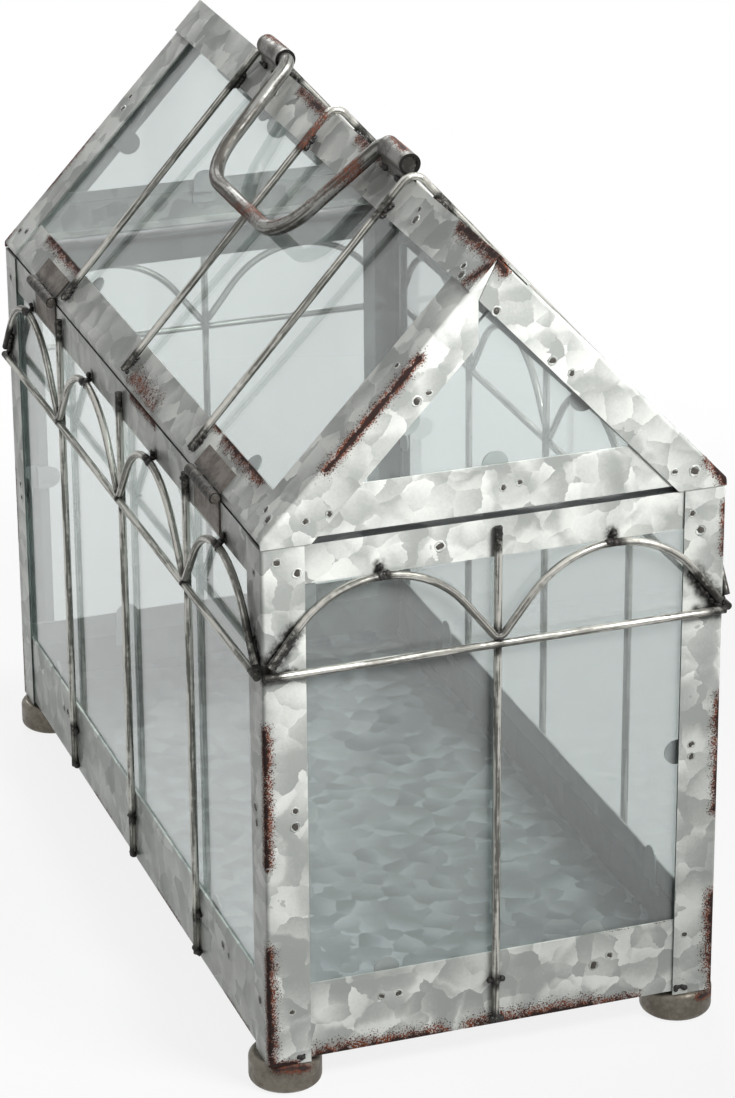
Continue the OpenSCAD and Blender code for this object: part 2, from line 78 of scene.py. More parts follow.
def number_value(name, value, description, **kind):
    return FloatProperty(name=name, description=description, default=value, **kind)


def length_value(name, millimetres, description):
    return number_value(name, millimetres * MM, description, unit="LENGTH", precision=4)


def angle_value(name, degrees, description):
    return number_value(name, math.radians(degrees), description, subtype="ANGLE")


def share_value(name, value, description):
    return number_value(name, value, description, min=0, max=1, subtype="FACTOR")


def power_value(name, watts, description):
    return number_value(name, watts, description, unit="POWER")


def colour_value(name, colour, description):
    return FloatVectorProperty(name=name, description=description, default=colour, size=3, subtype="COLOR",
                               min=0, max=1)


class GreenhouseSheet(bpy.types.PropertyGroup):
    """Galvanised strips"""
    spangle: length_value("Spangle", 11, "Width of the zinc crystals")
    light: colour_value("Light zinc", (0.75, 0.765, 0.725), "Brightest crystals")
    dark: colour_value("Dark zinc", (0.365, 0.38, 0.36), "Dullest crystals")
    # The floor colours are painted shade: the same zinc as the strips, made much darker for the shade under
    # the lid
    shaded_floor_light: colour_value("Light floor", (0.27, 0.31, 0.31), "Brightest crystals of the floor pan")
    shaded_floor_dark: colour_value("Dark floor", (0.065, 0.09, 0.09), "Dullest crystals of the floor pan")
    # Inside is painted shade: the share of its colour that zinc keeps on inner faces, which stand in shade
    # inside the case
    inside: colour_value("Inside", (0.13, 0.165, 0.16), "Share of its colour that zinc keeps on inner faces")
    # Painted shade: a near-black colour on the faces in the gap between the case and the lid, where shade
    # falls
    gap_shade: colour_value("Grime", (0.022, 0.026, 0.026), "Dirt in the joint between the case and the lid")
    metallic: share_value("Metallic", 0.12, "How far the zinc mirrors its surroundings")
    gloss: share_value("Gloss", 0.28, "Strength of the reflections on zinc, soot and rust")
    rust: colour_value("Rust", (0.185, 0.047, 0.018), "Rust at the edge of a patch")
    rust_core: colour_value("Old rust", (0.016, 0.009, 0.008), "Rust in the middle of a patch")
    soot: colour_value("Soot", (0.028, 0.027, 0.024), "Scorched zinc beside the welds")


class GreenhouseGlass(bpy.types.PropertyGroup):
    """Panes"""
    tint: colour_value("Tint", (0.85, 0.878, 0.872), "Colour of light that passes a pane")
    depth: colour_value("Depth", (0.45, 0.80, 0.74), "Colour that the glass takes with depth")
    density: number_value("Density", 14, "Absorption for each metre of glass")
    clear: share_value("Clear", 0.91, "Share of the light that a face lets through, past its film of dust")
    bending: number_value("Refraction", 1.48, "Index of refraction of the glass")


class GreenhouseWire(bpy.types.PropertyGroup):
    """Wire arches, mullions and roof wires"""
    diameter: length_value("Diameter", 3, "Diameter of the wire")
    crossbar: length_value("Crossbar", 161.4, "Height of the crossbars above the ends of the posts")
    vee: length_value("Vees", 164.5, "Height of the bends between two arches above the ends of the posts")
    vee_bend: length_value("Vee radius", 3, "Radius of the bends between two arches")
    rise: length_value("Rise", 30.5, "Rise of the arches")
    angle: angle_value("Angle", 52, "Steepness of the arches' legs")
    out: length_value("Out", 2.1, "Distance of the arches from the posts")
    mullion_out: length_value("Mullions out", 0.8, "Distance of the mullions from the posts")
    mullion_low: length_value("Mullions low", 3.5, "Height of the mullions' lower ends")
    mullion_drop: length_value("Mullions drop", 3, "Depth of the mullions' upper ends below the posts")
    roof_start: length_value("Roof start", 3, "Distance of the roof wires' ends from the eaves")
    roof_low: length_value("Roof low", 0.8, "Height of the roof wires' ends above the slope")
    roof_lift: length_value("Roof lift", 2.6, "How far the roof wires rise from the slope towards the ridge")
    # Bright and dull steel of the wires: partly rub marks, partly painted reflections in their streaks
    bright: colour_value("Bright steel", (0.50, 0.49, 0.45), "Rubbed streaks of the wires")
    dull: colour_value("Dull steel", (0.12, 0.118, 0.105), "Dull streaks of the wires")


class GreenhouseHandle(bpy.types.PropertyGroup):
    """Bail handle"""
    rod: length_value("Rod", 6, "Diameter of the rod")
    drop: length_value("Drop", 54, "Depth of the handle from its axis to the grip")
    inner: length_value("Inner", 61.2, "Distance of the bends beside the eyes from the middle")
    lean: angle_value("Lean", 13, "Lean of the arms")
    end_bend: length_value("End bends", 5.5, "Radius of the bends beside the eyes")
    grip_bend: length_value("Grip bends", 22, "Radius of the bends at the grip")
    # Bright steel of the handle: partly rub marks, partly painted reflections in its streaks
    bright: colour_value("Bright steel", (0.26, 0.26, 0.245), "Rubbed streaks of the handle")
    steel: colour_value("Steel", (0.19, 0.187, 0.175), "Steel of the eyes")
    patina: colour_value("Patina", (0.078, 0.073, 0.064), "Browned steel")


class GreenhouseFittings(bpy.types.PropertyGroup):
    """Hinges and feet"""
    hinge: colour_value("Hinge", (0.17, 0.15, 0.13), "Rubbed steel of the hinges' leaves")
    hinge_patina: colour_value("Hinge patina", (0.10, 0.085, 0.075), "Browned steel of the hinges' leaves")
    pin: colour_value("Pin", (0.20, 0.18, 0.16), "Rubbed steel of the pins")
    pin_patina: colour_value("Pin patina", (0.08, 0.07, 0.06), "Browned steel of the pins")
    foot: colour_value("Foot", (0.185, 0.168, 0.138), "Rubbed steel of the feet")
    foot_patina: colour_value("Foot patina", (0.128, 0.112, 0.09), "Browned steel of the feet")


class GreenhouseWeld(bpy.types.PropertyGroup):
    """Welds and spot welds"""
    bead: length_value("Bead", 1.5, "Radius of a lump of a weld")
    spread: length_value("Spread", 0.7, "Spread of the lumps of a weld")
    spot: length_value("Spot", 1.75, "Radius of a spot weld")
    black: colour_value("Scale", (0.012, 0.011, 0.010), "Burnt scale on the welds")
    speck: colour_value("Specks", (0.055, 0.035, 0.025), "Brown specks on the welds")
    pit: colour_value("Pits", (0.062, 0.056, 0.048), "Burnt scale in the spot welds")


class GreenhouseStage(bpy.types.PropertyGroup):
    """Camera, floor and lamps"""
    camera: FloatVectorProperty(name="Camera", description="Place of the camera", size=3,
                                subtype="TRANSLATION", default=(-0.4905, -1.4456, 0.7887))
    azimuth: angle_value("Azimuth", -19.17, "Turn of the camera about the part")
    elevation: angle_value("Elevation", 23.06, "Angle that the camera looks down")
    roll: angle_value("Roll", -0.40, "Roll of the camera")
    lens: number_value("Lens", 133.87, "Focal length in millimetres on a 36 mm frame")
    floor: colour_value("Floor", (0.8, 0.8, 0.8), "Colour of the floor")
    ambient: number_value("Ambient", 0.11, "Strength of the light from all around")
    key: power_value("Key lamp", 1.6, "Power of the lamp at the front right")
    top: power_value("Top lamp", 1.5, "Power of the lamp overhead")
    rear: power_value("Rear lamp", 1.1, "Power of the lamp behind")


GROUPS = {
    "greenhouse_sheet": GreenhouseSheet,
    "greenhouse_glass": GreenhouseGlass,
    "greenhouse_wire": GreenhouseWire,
    "greenhouse_handle": GreenhouseHandle,
    "greenhouse_fittings": GreenhouseFittings,
    "greenhouse_weld": GreenhouseWeld,
    "greenhouse_stage": GreenhouseStage,
}


def millimetres(group, *names):
    """Lengths of a group of values, in millimetres."""
    return [getattr(group, name) / MM for name in names]


# Node trees

VALUE, VECTOR, COLOUR = "NodeSocketFloat", "NodeSocketVector", "NodeSocketColor"
COUNT, MATERIAL, GEOMETRY = "NodeSocketInt", "NodeSocketMaterial", "NodeSocketGeometry"
HALF = (0.5, 0.5, 0.5)


class Wiring:
    """Adds nodes to a tree and links them."""

    def __init__(self, tree):
        self.tree = tree

    def put(self, socket, value):
        if isinstance(value, bpy.types.NodeSocket):
            self.tree.links.new(value, socket)
        elif value is not None:
            socket.default_value = value

    def add(self, kind, inputs=None, **settings):
        made = self.tree.nodes.new(kind)
        for key, value in settings.items():
            setattr(made, key, value)
        for key, value in (inputs or {}).items():
            self.put(made.inputs[key], value)
        return made

    def first(self, kind, inputs=None, **settings):
        """The first output of a new node."""
        return self.add(kind, inputs, **settings).outputs[0]

    def maths(self, operation, *values, clamp=False):
        return self.first("ShaderNodeMath", dict(enumerate(values)), operation=operation, use_clamp=clamp)

    def plus(self, first, second):
        return self.maths("ADD", first, second)

    def times(self, first, second):
        return self.maths("MULTIPLY", first, second)

    def highest(self, first, second):
        return self.maths("MAXIMUM", first, second)

    def swing(self, value, amount):
        """A value from 0 to 1 as a change to either side of 0."""
        return self.times(self.maths("SUBTRACT", value, 0.5), amount)

    def vector(self, operation, first, second=None, output="Vector"):
        made = self.add("ShaderNodeVectorMath", {0: first, "Scale" if operation == "SCALE" else 1: second},
                        operation=operation)
        return made.outputs[output]

    def dot(self, first, second):
        return self.vector("DOT_PRODUCT", first, second, "Value")

    def jitter(self, colour, amount):
        """A colour as a shift to any side."""
        return self.vector("SCALE", self.vector("SUBTRACT", colour, HALF), amount)

    def noise(self, vector, scale, detail=2.0, roughness=0.5, output="Fac"):
        made = self.add("ShaderNodeTexNoise",
                        {"Vector": vector, "Scale": scale, "Detail": detail, "Roughness": roughness})
        return made.outputs[output]

    def ramp(self, value, low, high, bottom=0.0, top=1.0):
        return self.first("ShaderNodeMapRange", {"Value": value, "From Min": low, "From Max": high,
                                                 "To Min": bottom, "To Max": top},
                          interpolation_type="SMOOTHSTEP")

    def mix(self, share, first, second):
        return self.add("ShaderNodeMix", {"Factor": share, 6: first, 7: second}, data_type="RGBA").outputs[2]

    def between(self, share, first, second):
        return self.first("ShaderNodeMix", {"Factor": share, 2: first, 3: second}, data_type="FLOAT")


def shader_group(name, inputs, outputs):
    """A new shader node group with named sockets; returns its wiring, its inputs and its output node."""
    group = bpy.data.node_groups.new(name, "ShaderNodeTree")
    for label, kind, default in inputs:
        socket = group.interface.new_socket(label, in_out="INPUT", socket_type=kind)
        if default is not None:
            socket.default_value = default
    for label, kind in outputs:
        group.interface.new_socket(label, in_out="OUTPUT", socket_type=kind)
    wiring = Wiring(group)
    return wiring, wiring.add("NodeGroupInput").outputs, wiring.add("NodeGroupOutput").inputs


def spangle_group():
    """Zinc crystals: each one's tone is painted lighter towards one side, partly crystal pattern and partly a
    painted highlight, and each mirrors in its own direction.
    """
    wiring, given, out = shader_group(
        "Spangle",
        [("Vector", VECTOR, None), ("Size", VALUE, 0.011), ("Tilt", VALUE, 0.2), ("Crisp", VALUE, 0.5)],
        [("Tone", VALUE), ("Grain", VALUE), ("Normal", VECTOR)])
    wobble = wiring.jitter(wiring.noise(given["Vector"], 190, 3, output="Color"), 0.0042)
    placed = wiring.vector("ADD", given["Vector"], wobble)
    tones, tilt = [], None
    for share, jump, smooth in ((1.0, 0.0, 0.0), (0.6, 3.7, 0.45)):
        scale = wiring.maths("DIVIDE", share, given["Size"])
        spot = wiring.vector("ADD", wiring.vector("SCALE", placed, scale), (jump, jump, jump))
        cells = wiring.add("ShaderNodeTexVoronoi", {"Vector": spot, "Scale": 1.0, "Randomness": 1.0},
                           feature="SMOOTH_F1" if smooth else "F1")
        if smooth:
            wiring.put(cells.inputs["Smoothness"], smooth)
        chance = wiring.vector("SUBTRACT", cells.outputs["Color"], HALF)
        inside = wiring.vector("SUBTRACT", spot, cells.outputs["Position"])
        # Partly crystal pattern, partly painted highlight: each cell's tone rises across it in a random
        # direction
        grain_and_highlight_slant = wiring.dot(inside, wiring.vector("NORMALIZE", chance))
        first = wiring.first("ShaderNodeSeparateColor", {0: cells.outputs["Color"]})
        level_tone = wiring.maths("MULTIPLY_ADD", first, 0.45, 0.275)
        tones.append(wiring.maths("MULTIPLY_ADD", grain_and_highlight_slant, 1.1, level_tone))
        tilt = tilt or chance
    both = wiring.between(given["Crisp"], tones[1], tones[0])
    fine = wiring.noise(given["Vector"], 900, 4, 0.6)
    wiring.put(out["Tone"], wiring.ramp(wiring.plus(both, wiring.swing(fine, 0.3)), 0.0, 1.0))
    wiring.put(out["Grain"], fine)
    straight = wiring.add("ShaderNodeNewGeometry").outputs["Normal"]
    leaning = wiring.vector("ADD", straight, wiring.vector("SCALE", tilt, given["Tilt"]))
    wiring.put(out["Normal"], wiring.vector("NORMALIZE", leaning))
    return wiring.tree


def streak_group():
    """Nearness to a line between two points: 1 on the line, 0 at its width."""
    wiring, given, out = shader_group(
        "Streak",
        [("Vector", VECTOR, None), ("From", VECTOR, None), ("To", VECTOR, None), ("Width", VALUE, 0.006)],
        [("Near", VALUE)])
    along = wiring.vector("SUBTRACT", given["To"], given["From"])
    off = wiring.vector("SUBTRACT", given["Vector"], given["From"])
    share = wiring.maths("DIVIDE", wiring.dot(off, along), wiring.dot(along, along), clamp=True)
    aside = wiring.vector("SUBTRACT", off, wiring.vector("SCALE", along, share))
    apart = wiring.maths("DIVIDE", wiring.vector("LENGTH", aside, output="Value"), given["Width"])
    wiring.put(out["Near"], wiring.maths("SUBTRACT", 1.0, apart, clamp=True))
    return wiring.tree


def rust_group():
    """Rust from its nearness to an edge: dark core, red border, brown stain and specks that thin out."""
    wiring, given, out = shader_group(
        "Rust",
        [("Vector", VECTOR, None), ("Near", VALUE, 0.0), ("Rust", COLOUR, (1, 1, 1, 1)),
         ("Core", COLOUR, (0, 0, 0, 1))],
        [("Cover", VALUE), ("Colour", COLOUR), ("Height", VALUE)])
    patch = wiring.noise(given["Vector"], 260, 5, 0.62)
    specks = wiring.noise(given["Vector"], 1500, 3, 0.6)
    blotch = wiring.noise(given["Vector"], 330, 3, 0.6)
    near = wiring.plus(given["Near"], wiring.swing(patch, 0.85))
    solid = wiring.ramp(near, 0.70, 0.86)
    dots = wiring.ramp(wiring.plus(specks, wiring.times(near, 0.36)), 0.66, 0.76)
    stain = wiring.ramp(near, 0.25, 0.85, 0.0, 0.5)
    cover = wiring.highest(wiring.highest(solid, dots), stain)
    cover = wiring.times(cover, wiring.ramp(given["Near"], 0.02, 0.2))
    wiring.put(out["Cover"], cover)
    red = wiring.times(wiring.ramp(blotch, 0.36, 0.60, 0.3, 1.0), wiring.ramp(near, 0.72, 0.88, 1.0, 0.05))
    red = wiring.times(red, wiring.ramp(near, 0.30, 0.62, 0.3, 1.0))
    red = wiring.times(red, wiring.ramp(specks, 0.3, 0.6, 0.55, 1.0))
    wiring.put(out["Colour"], wiring.mix(red, given["Core"], given["Rust"]))
    wiring.put(out["Height"], wiring.times(cover, specks))
    return wiring.tree


def soot_group():
    """Scorch from its nearness to a weld: dense at the weld, then a fading smudge."""
    wiring, given, out = shader_group(
        "Soot", [("Vector", VECTOR, None), ("Near", VALUE, 0.0)], [("Cover", VALUE)])
    smoke = wiring.noise(given["Vector"], 420, 5, 0.65)
    smudge = wiring.times(given["Near"], wiring.ramp(smoke, 0.2, 0.7, 0.45, 1.35))
    wiring.put(out["Cover"], wiring.ramp(smudge, 0.14, 0.85))
    return wiring.tree


GROUP_MAKERS = {"Spangle": spangle_group, "Streak": streak_group, "Rust": rust_group, "Soot": soot_group}
SOOT_ROUGHNESS, RUST_ROUGHNESS = 0.65, 0.85
RUST_BUMP, RUST_HEIGHT = 0.6, 0.0006


class Finish(Wiring):
    """A material in the making, around one Principled BSDF."""

    def __init__(self, name):
        self.material = bpy.data.materials.new(name)
        self.material.use_nodes = True
        super().__init__(self.material.node_tree)
        self.shader = self.tree.nodes["Principled BSDF"]
        coordinates = self.add("ShaderNodeTexCoord").outputs
        self.place, self.facing = coordinates["Object"], coordinates["Normal"]

    def group(self, name, **inputs):
        tree = bpy.data.node_groups.get(name) or GROUP_MAKERS[name]()
        return self.add("ShaderNodeGroup", inputs, node_tree=tree).outputs

    def surface(self, inputs):
        for name, value in inputs.items():
            self.put(self.shader.inputs[name], value)

    def output(self, name, shader):
        self.put(self.tree.nodes["Material Output"].inputs[name], shader.outputs[0])

    def bump(self, height, strength, distance, normal=None):
        return self.first("ShaderNodeBump", {"Height": height, "Strength": strength, "Distance": distance,
                                             "Normal": normal})

    def nearest(self, lines):
        """The largest nearness to any of the lines, each one from, to and width in millimetres."""
        best = None
        for start, end, width in lines:
            near = self.group("Streak", Vector=self.place, From=Vector(start) * MM, To=Vector(end) * MM,
                              Width=width * MM)["Near"]
            best = near if best is None else self.highest(best, near)
        return best

    def weathered(self, colour, rough, metal, normal, rust_lines, soot_lines):
        """Lays soot and rust over the surface and returns the finished material."""
        sheet = bpy.context.scene.greenhouse_sheet
        if soot_lines:
            soot = self.group("Soot", Vector=self.place, Near=self.nearest(soot_lines))["Cover"]
            colour = self.mix(soot, colour, rgba(sheet.soot))
            rough = self.between(soot, rough, SOOT_ROUGHNESS)
        if rust_lines:
            rust = self.group("Rust", Vector=self.place, Near=self.nearest(rust_lines), Rust=rgba(sheet.rust),
                              Core=rgba(sheet.rust_core))
            colour = self.mix(rust["Cover"], colour, rust["Colour"])
            rough = self.between(rust["Cover"], rough, RUST_ROUGHNESS)
            metal = self.between(rust["Cover"], metal, 0.0)
            normal = self.bump(rust["Height"], RUST_BUMP, RUST_HEIGHT, normal)
        self.surface({"Base Color": colour, "Roughness": rough, "Metallic": metal, "Normal": normal})
        return self.material


def rgba(colour):
    return (*colour, 1.0)


def dress(material, *nodes):
    """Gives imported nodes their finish."""
    for node in nodes:
        NODES[node].data.materials.clear()
        NODES[node].data.materials.append(material)


# Places on the walls and slopes, in millimetres

WALLS = (("front", 0, LONG, 2 * WIDE, 2), ("back", math.pi, LONG, 2 * WIDE, 2),
         ("left", -math.pi / 2, WIDE, 2 * LONG, 4), ("right", math.pi / 2, WIDE, 2 * LONG, 4))


def wall_places():
    """For each wall: its name, a way to place along, up and out of it, its span and its number of arches."""
    for wall, turn, depth, span, bays in WALLS:
        place = Matrix.Rotation(turn, 4, "Z") @ Matrix.Translation((0, -depth, LOW))
        yield wall, lambda along, up, out, place=place: place @ Vector((along, -out, up)), span, bays


def on_slope(side, y, up, out=0.0):
    """A place on a slope: side -1 is the left one, up is the distance from the eave."""
    across = -WIDE + up * math.cos(PITCH) - out * math.sin(PITCH)
    return Vector((-side * across, y, EAVE + up * math.sin(PITCH) + out * math.cos(PITCH)))


def front(x, z):
    return (x, -LONG, z)


def back(x, z):
    return (x, LONG, z)


def left(y, z):
    return (-WIDE, y, z)


def right(y, z):
    return (WIDE, y, z)


def upright(face, along, high, low, width):
    """An upright line on a wall."""
    return (face(along, high), face(along, low), width)


def level(face, up, start, end, width):
    """A level line on a wall."""
    return (face(start, up), face(end, up), width)


def sloping(side, up, start, end, width):
    """A level line on a slope."""
    return (on_slope(side, start, up), on_slope(side, end, up), width)


# Lines of rust on the strips, each from, to and width; some lie off the sheet, so that only specks reach it

RAIL_FOOT = LOW + 1
RUST = {
    "post_front_left": [
        upright(front, -WIDE, 151, 97, 6), upright(front, -WIDE, 60, 14, 7), upright(left, -LONG, 34, 16, 5),
        (front(-WIDE, 13), front(-80, 12), 4)],
    "post_front_right": [
        upright(front, WIDE, 136, 90, 6), upright(front, WIDE, 52, 22, 8),
        upright(front, WIDE, 214, 196, 4.5), upright(front, WIDE, 24, 13, 5)],
    "post_back_left": [upright(left, LONG, 120, 88, 5), upright(left, LONG, 40, 14, 5)],
    "post_back_right": [upright(back, WIDE, 152, 110, 7), upright(back, WIDE, 66, 38, 6)],
    "bottom_rail_front": [
        level(front, RAIL_FOOT, -70, -22, 9), level(front, RAIL_FOOT, -8, 40, 9.5),
        level(front, RAIL_FOOT, 46, 58, 6), level(front, LOW + 33, 44, 74, 1.6)],
    "bottom_rail_back": [level(back, RAIL_FOOT, -60, -10, 6), level(back, RAIL_FOOT, 30, 66, 5)],
    "bottom_rail_left": [
        level(left, RAIL_FOOT, -150, -120, 3), level(left, RAIL_FOOT, -60, -30, 3),
        level(left, RAIL_FOOT, 40, 64, 3)],
    "bottom_rail_right": [level(right, RAIL_FOOT, -120, -60, 5), level(right, RAIL_FOOT, 20, 110, 5.5)],
    "top_rail_left": [level(left, 222, -12, -44, 5)],
    "rake_front_left": [
        (front(-65.1, 249.6), front(-29.6, 287.5), 4),
        ((-67.1, -LONG - 3, 252.6), (-33.6, -LONG - 3, 288.5), 10)],
    "rake_front_right": [(front(84, 233), front(90, 225), 7), (front(-2, 322), front(2, 316), 5)],
    "rake_back_left": [(back(-70, 248), back(-50, 269), 5.5), (back(-90, 224), back(-86, 228), 5)],
    "rake_back_right": [(back(40, 278), back(62, 255), 6.5)],
    "ridge_cap": [
        sloping(-1, 131, -LONG, -142, 7), (on_slope(-1, -LONG, 128), on_slope(-1, -172, 118), 6),
        (on_slope(-1, 40, 131), on_slope(-1, 4, 130), 4.5), sloping(1, 121, LONG, 140, 7),
        sloping(1, 131, -30, -70, 6)],
    "eave_rail_left": [
        sloping(-1, 16, -145, -104, 7), sloping(-1, 16, -96, -88, 4),
        (on_slope(-1, -8, 4, 3), on_slope(-1, -38, 3, 3), 10), sloping(-1, 16, 98, 142, 7)],
    "eave_rail_right": [sloping(1, 16, -60, -20, 6), sloping(1, 16, 90, 140, 7)],
}


def peak_soot(face, span, bays):
    """Scorch on a top rail at the tops of the arches."""
    peaks = [(i + 0.5) * 2 * span / bays - span for i in range(bays)]
    return [upright(face, along, LOW + 196, LOW + 198, 4.5) for along in peaks]


def arch_soot(face, end):
    """Scorch on a post beside the ends of the arches and the crossbar, where a wall ends."""
    inward = -math.copysign(1, end)
    corner = face(end, LOW + 161)
    return [(corner, face(end + inward * 12, LOW + 177), 7),
            (corner, face(end + inward * 11, LOW + 161), 4.5)]


SOOT = {
    "top_rail_front": peak_soot(front, WIDE, 2),
    "top_rail_back": peak_soot(back, WIDE, 2),
    "top_rail_left": peak_soot(left, LONG, 4),
    "top_rail_right": peak_soot(right, LONG, 4),
    "post_front_left": arch_soot(front, -WIDE) + arch_soot(left, -LONG),
    "post_front_right": arch_soot(front, WIDE) + arch_soot(right, -LONG),
    "post_back_left": arch_soot(back, -WIDE) + arch_soot(left, LONG),
    "post_back_right": arch_soot(back, WIDE) + arch_soot(right, LONG),
}


# Galvanised strips

STRIP_KINDS = ("post", "bottom_rail", "top_rail", "rake", "gable_rail", "ridge_cap", "eave_rail")
LID_KINDS = ("rake", "gable_rail", "ridge_cap", "eave_rail")
# Ways that the faces in the gap between case and lid look; these faces get painted shade
GAP_SHADE_WAYS = {"top_rail": (0, 0, 1), "gable_rail": (0, 0, -1), "eave_rail": (0, 0, -1)}
WAYS = {"front": (0, -1, 0), "back": (0, 1, 0), "left": (-1, 0, 0), "right": (1, 0, 0)}
# The floor pan is painted lighter at the front and darker towards the back, a painted light and shade: from
# and to in metres, and the share of its colour at both
FLOOR_SHADE_FADE = (-0.11, 0.16, 1.1, 0.55)
FLOOR_CRISPNESS = 0.85


def outward_of(node):
    """The direction in which a node's outer faces look, from the words of its name."""
    outward = Vector()
    for word in node.split("_"):
        way = Vector(WAYS.get(word, (0, 0, 0)))
        if way.x and node.startswith(("rake", "eave")):
            way = Vector((way.x * math.sin(PITCH), 0, math.cos(PITCH)))
        outward += way
    return outward.normalized() if outward.length else Vector((0, 0, 1))


def galvanised(node, light, dark, seed, crisp=0.5):
    """Zinc with crystals, with painted shade on its inner faces, in the gap under the lid and towards the
    back of the floor pan, with rust along the node's worn edges and soot at its welds.
    """
    sheet = bpy.context.scene.greenhouse_sheet
    finish = Finish("galvanised_" + node)
    shifted = finish.vector("ADD", finish.place, (0.31 * seed, 0.17 * seed, 0.23 * seed))
    zinc = finish.group("Spangle", Vector=shifted, Size=sheet.spangle, Tilt=0.22, Crisp=crisp)
    colour = finish.mix(zinc["Tone"], rgba(dark), rgba(light))
    rough = finish.between(zinc["Tone"], 0.34, 0.46)
    if node == "floor_pan":
        # Painted light and shade: the floor pan's colour goes from 1.1 at the front to 0.55 at the back
        along = finish.add("ShaderNodeSeparateXYZ", {0: finish.place}).outputs["Y"]
        colour = finish.vector("SCALE", colour, finish.ramp(along, *FLOOR_SHADE_FADE))
    # Painted shade on inner faces: their colour goes towards the darker inside colour, by up to 0.6 on the
    # lid and 0.95 on the case
    inner_shade_depth = 0.6 if node.startswith(LID_KINDS) else 0.95
    inner = finish.ramp(finish.dot(finish.facing, -outward_of(node)), 0.3, 0.6, 0.0, inner_shade_depth)
    colour = finish.mix(inner, colour, finish.vector("MULTIPLY", colour, sheet.inside))
    # Painted shade in the gap between case and lid: top faces of the top rails and under faces of the gable
    # and eave rails turn near black
    for kind, way in GAP_SHADE_WAYS.items():
        if node.startswith(kind):
            gap_shaded = finish.ramp(finish.dot(finish.facing, way), 0.6, 0.8, 0.0, 0.95)
            colour = finish.mix(gap_shaded, colour, rgba(sheet.gap_shade))
    finish.surface({"Specular IOR Level": sheet.gloss})
    normal = finish.bump(zinc["Grain"], 0.12, 0.0004, zinc["Normal"])
    return finish.weathered(colour, rough, sheet.metallic, normal, RUST.get(node), SOOT.get(node))


class GREENHOUSE_OT_strips(bpy.types.Operator):
    """Posts, rails, rakes, ridge cap, floor pan and clips in galvanised sheet"""
    bl_idname = "greenhouse.strips"
    bl_label = "Galvanised strips"

    def execute(self, context):
        sheet = context.scene.greenhouse_sheet
        strips = [node for node in sorted(NODES) if node.startswith(STRIP_KINDS)]
        for seed, node in enumerate(strips):
            dress(galvanised(node, sheet.light, sheet.dark, seed), node)
        # The floor pan takes the painted-shade floor colours; the clips take the dark zinc and the
        # painted-shade light floor colour
        dress(galvanised("floor_pan", sheet.shaded_floor_light, sheet.shaded_floor_dark, len(strips), FLOOR_CRISPNESS),
              "floor_pan")
        dress(galvanised("clips", sheet.dark, sheet.shaded_floor_light, len(strips) + 1), "wall_clips", "lid_clips")
        return {"FINISHED"}


# Glass

class GREENHOUSE_OT_panes(bpy.types.Operator):
    """Clear panes that are green in their depth"""
    bl_idname = "greenhouse.panes"
    bl_label = "Glass panes"

    def execute(self, context):
        glass = context.scene.greenhouse_glass
        finish = Finish("pane_glass")
        smears = finish.noise(finish.place, 30, 4, 0.6)
        finish.surface({"Base Color": rgba(glass.tint), "Metallic": 0.0, "Transmission Weight": glass.clear,
                        "IOR": glass.bending, "Roughness": finish.ramp(smears, 0.55, 0.9, 0.0, 0.015)})
        rays = finish.add("ShaderNodeLightPath").outputs
        passing = finish.highest(rays["Is Shadow Ray"], rays["Is Diffuse Ray"])
        face_tint = [share ** 0.5 for share in glass.tint]  # light passes two faces of each pane
        clear = finish.first("ShaderNodeBsdfTransparent", {"Color": rgba(face_tint)})
        finish.output("Surface", finish.add(
            "ShaderNodeMixShader", {0: passing, 1: finish.shader.outputs[0], 2: clear}))
        finish.output("Volume", finish.add(
            "ShaderNodeVolumeAbsorption", {"Color": rgba(glass.depth), "Density": glass.density}))
        dress(finish.material, *(node for node in NODES if "pane" in node))
        return {"FINISHED"}


# Geometry node trees

def geometry_tree(name, inputs):
    """A new geometry node tree with named inputs; returns its wiring, its inputs and their identifiers."""
    tree = bpy.data.node_groups.new(name, "GeometryNodeTree")
    tree.interface.new_socket("Geometry", in_out="INPUT", socket_type=GEOMETRY)
    keys = {label: tree.interface.new_socket(label, in_out="INPUT", socket_type=kind).identifier
            for label, kind in inputs.items()}
    tree.interface.new_socket("Geometry", in_out="OUTPUT", socket_type=GEOMETRY)
    wiring = Wiring(tree)
    return wiring, wiring.add("NodeGroupInput").outputs, keys


def end_tree(wiring, made, finishes, dents=None):
    """Makes copies real, dents and smooths them, and sets each finish on the faces that its mask picks."""
    made = wiring.first("GeometryNodeRealizeInstances", {0: made})
    if dents:
        scale, depth = dents
        here = wiring.first("GeometryNodeInputPosition")
        shift = wiring.jitter(wiring.noise(here, scale, 2, output="Color"), depth)
        made = wiring.first("GeometryNodeSetPosition", {"Geometry": made, "Offset": shift})
    made = wiring.first("GeometryNodeSetShadeSmooth", {"Geometry": made, "Shade Smooth": True})
    for finish, mask in finishes:
        made = wiring.first("GeometryNodeSetMaterial",
                            {"Geometry": made, "Selection": mask, "Material": finish})
    wiring.put(wiring.add("NodeGroupOutput").inputs[0], made)


def chance(wiring, low, high, seed):
    """A random value for each point."""
    made = wiring.add("FunctionNodeRandomValue", {2: low, 3: high, "Seed": seed}, data_type="FLOAT")
    return made.outputs[1]


def stored(wiring, name, kind):
    """A value that is stored on the mesh."""
    return wiring.add("GeometryNodeInputNamedAttribute", {"Name": name}, data_type=kind).outputs["Attribute"]


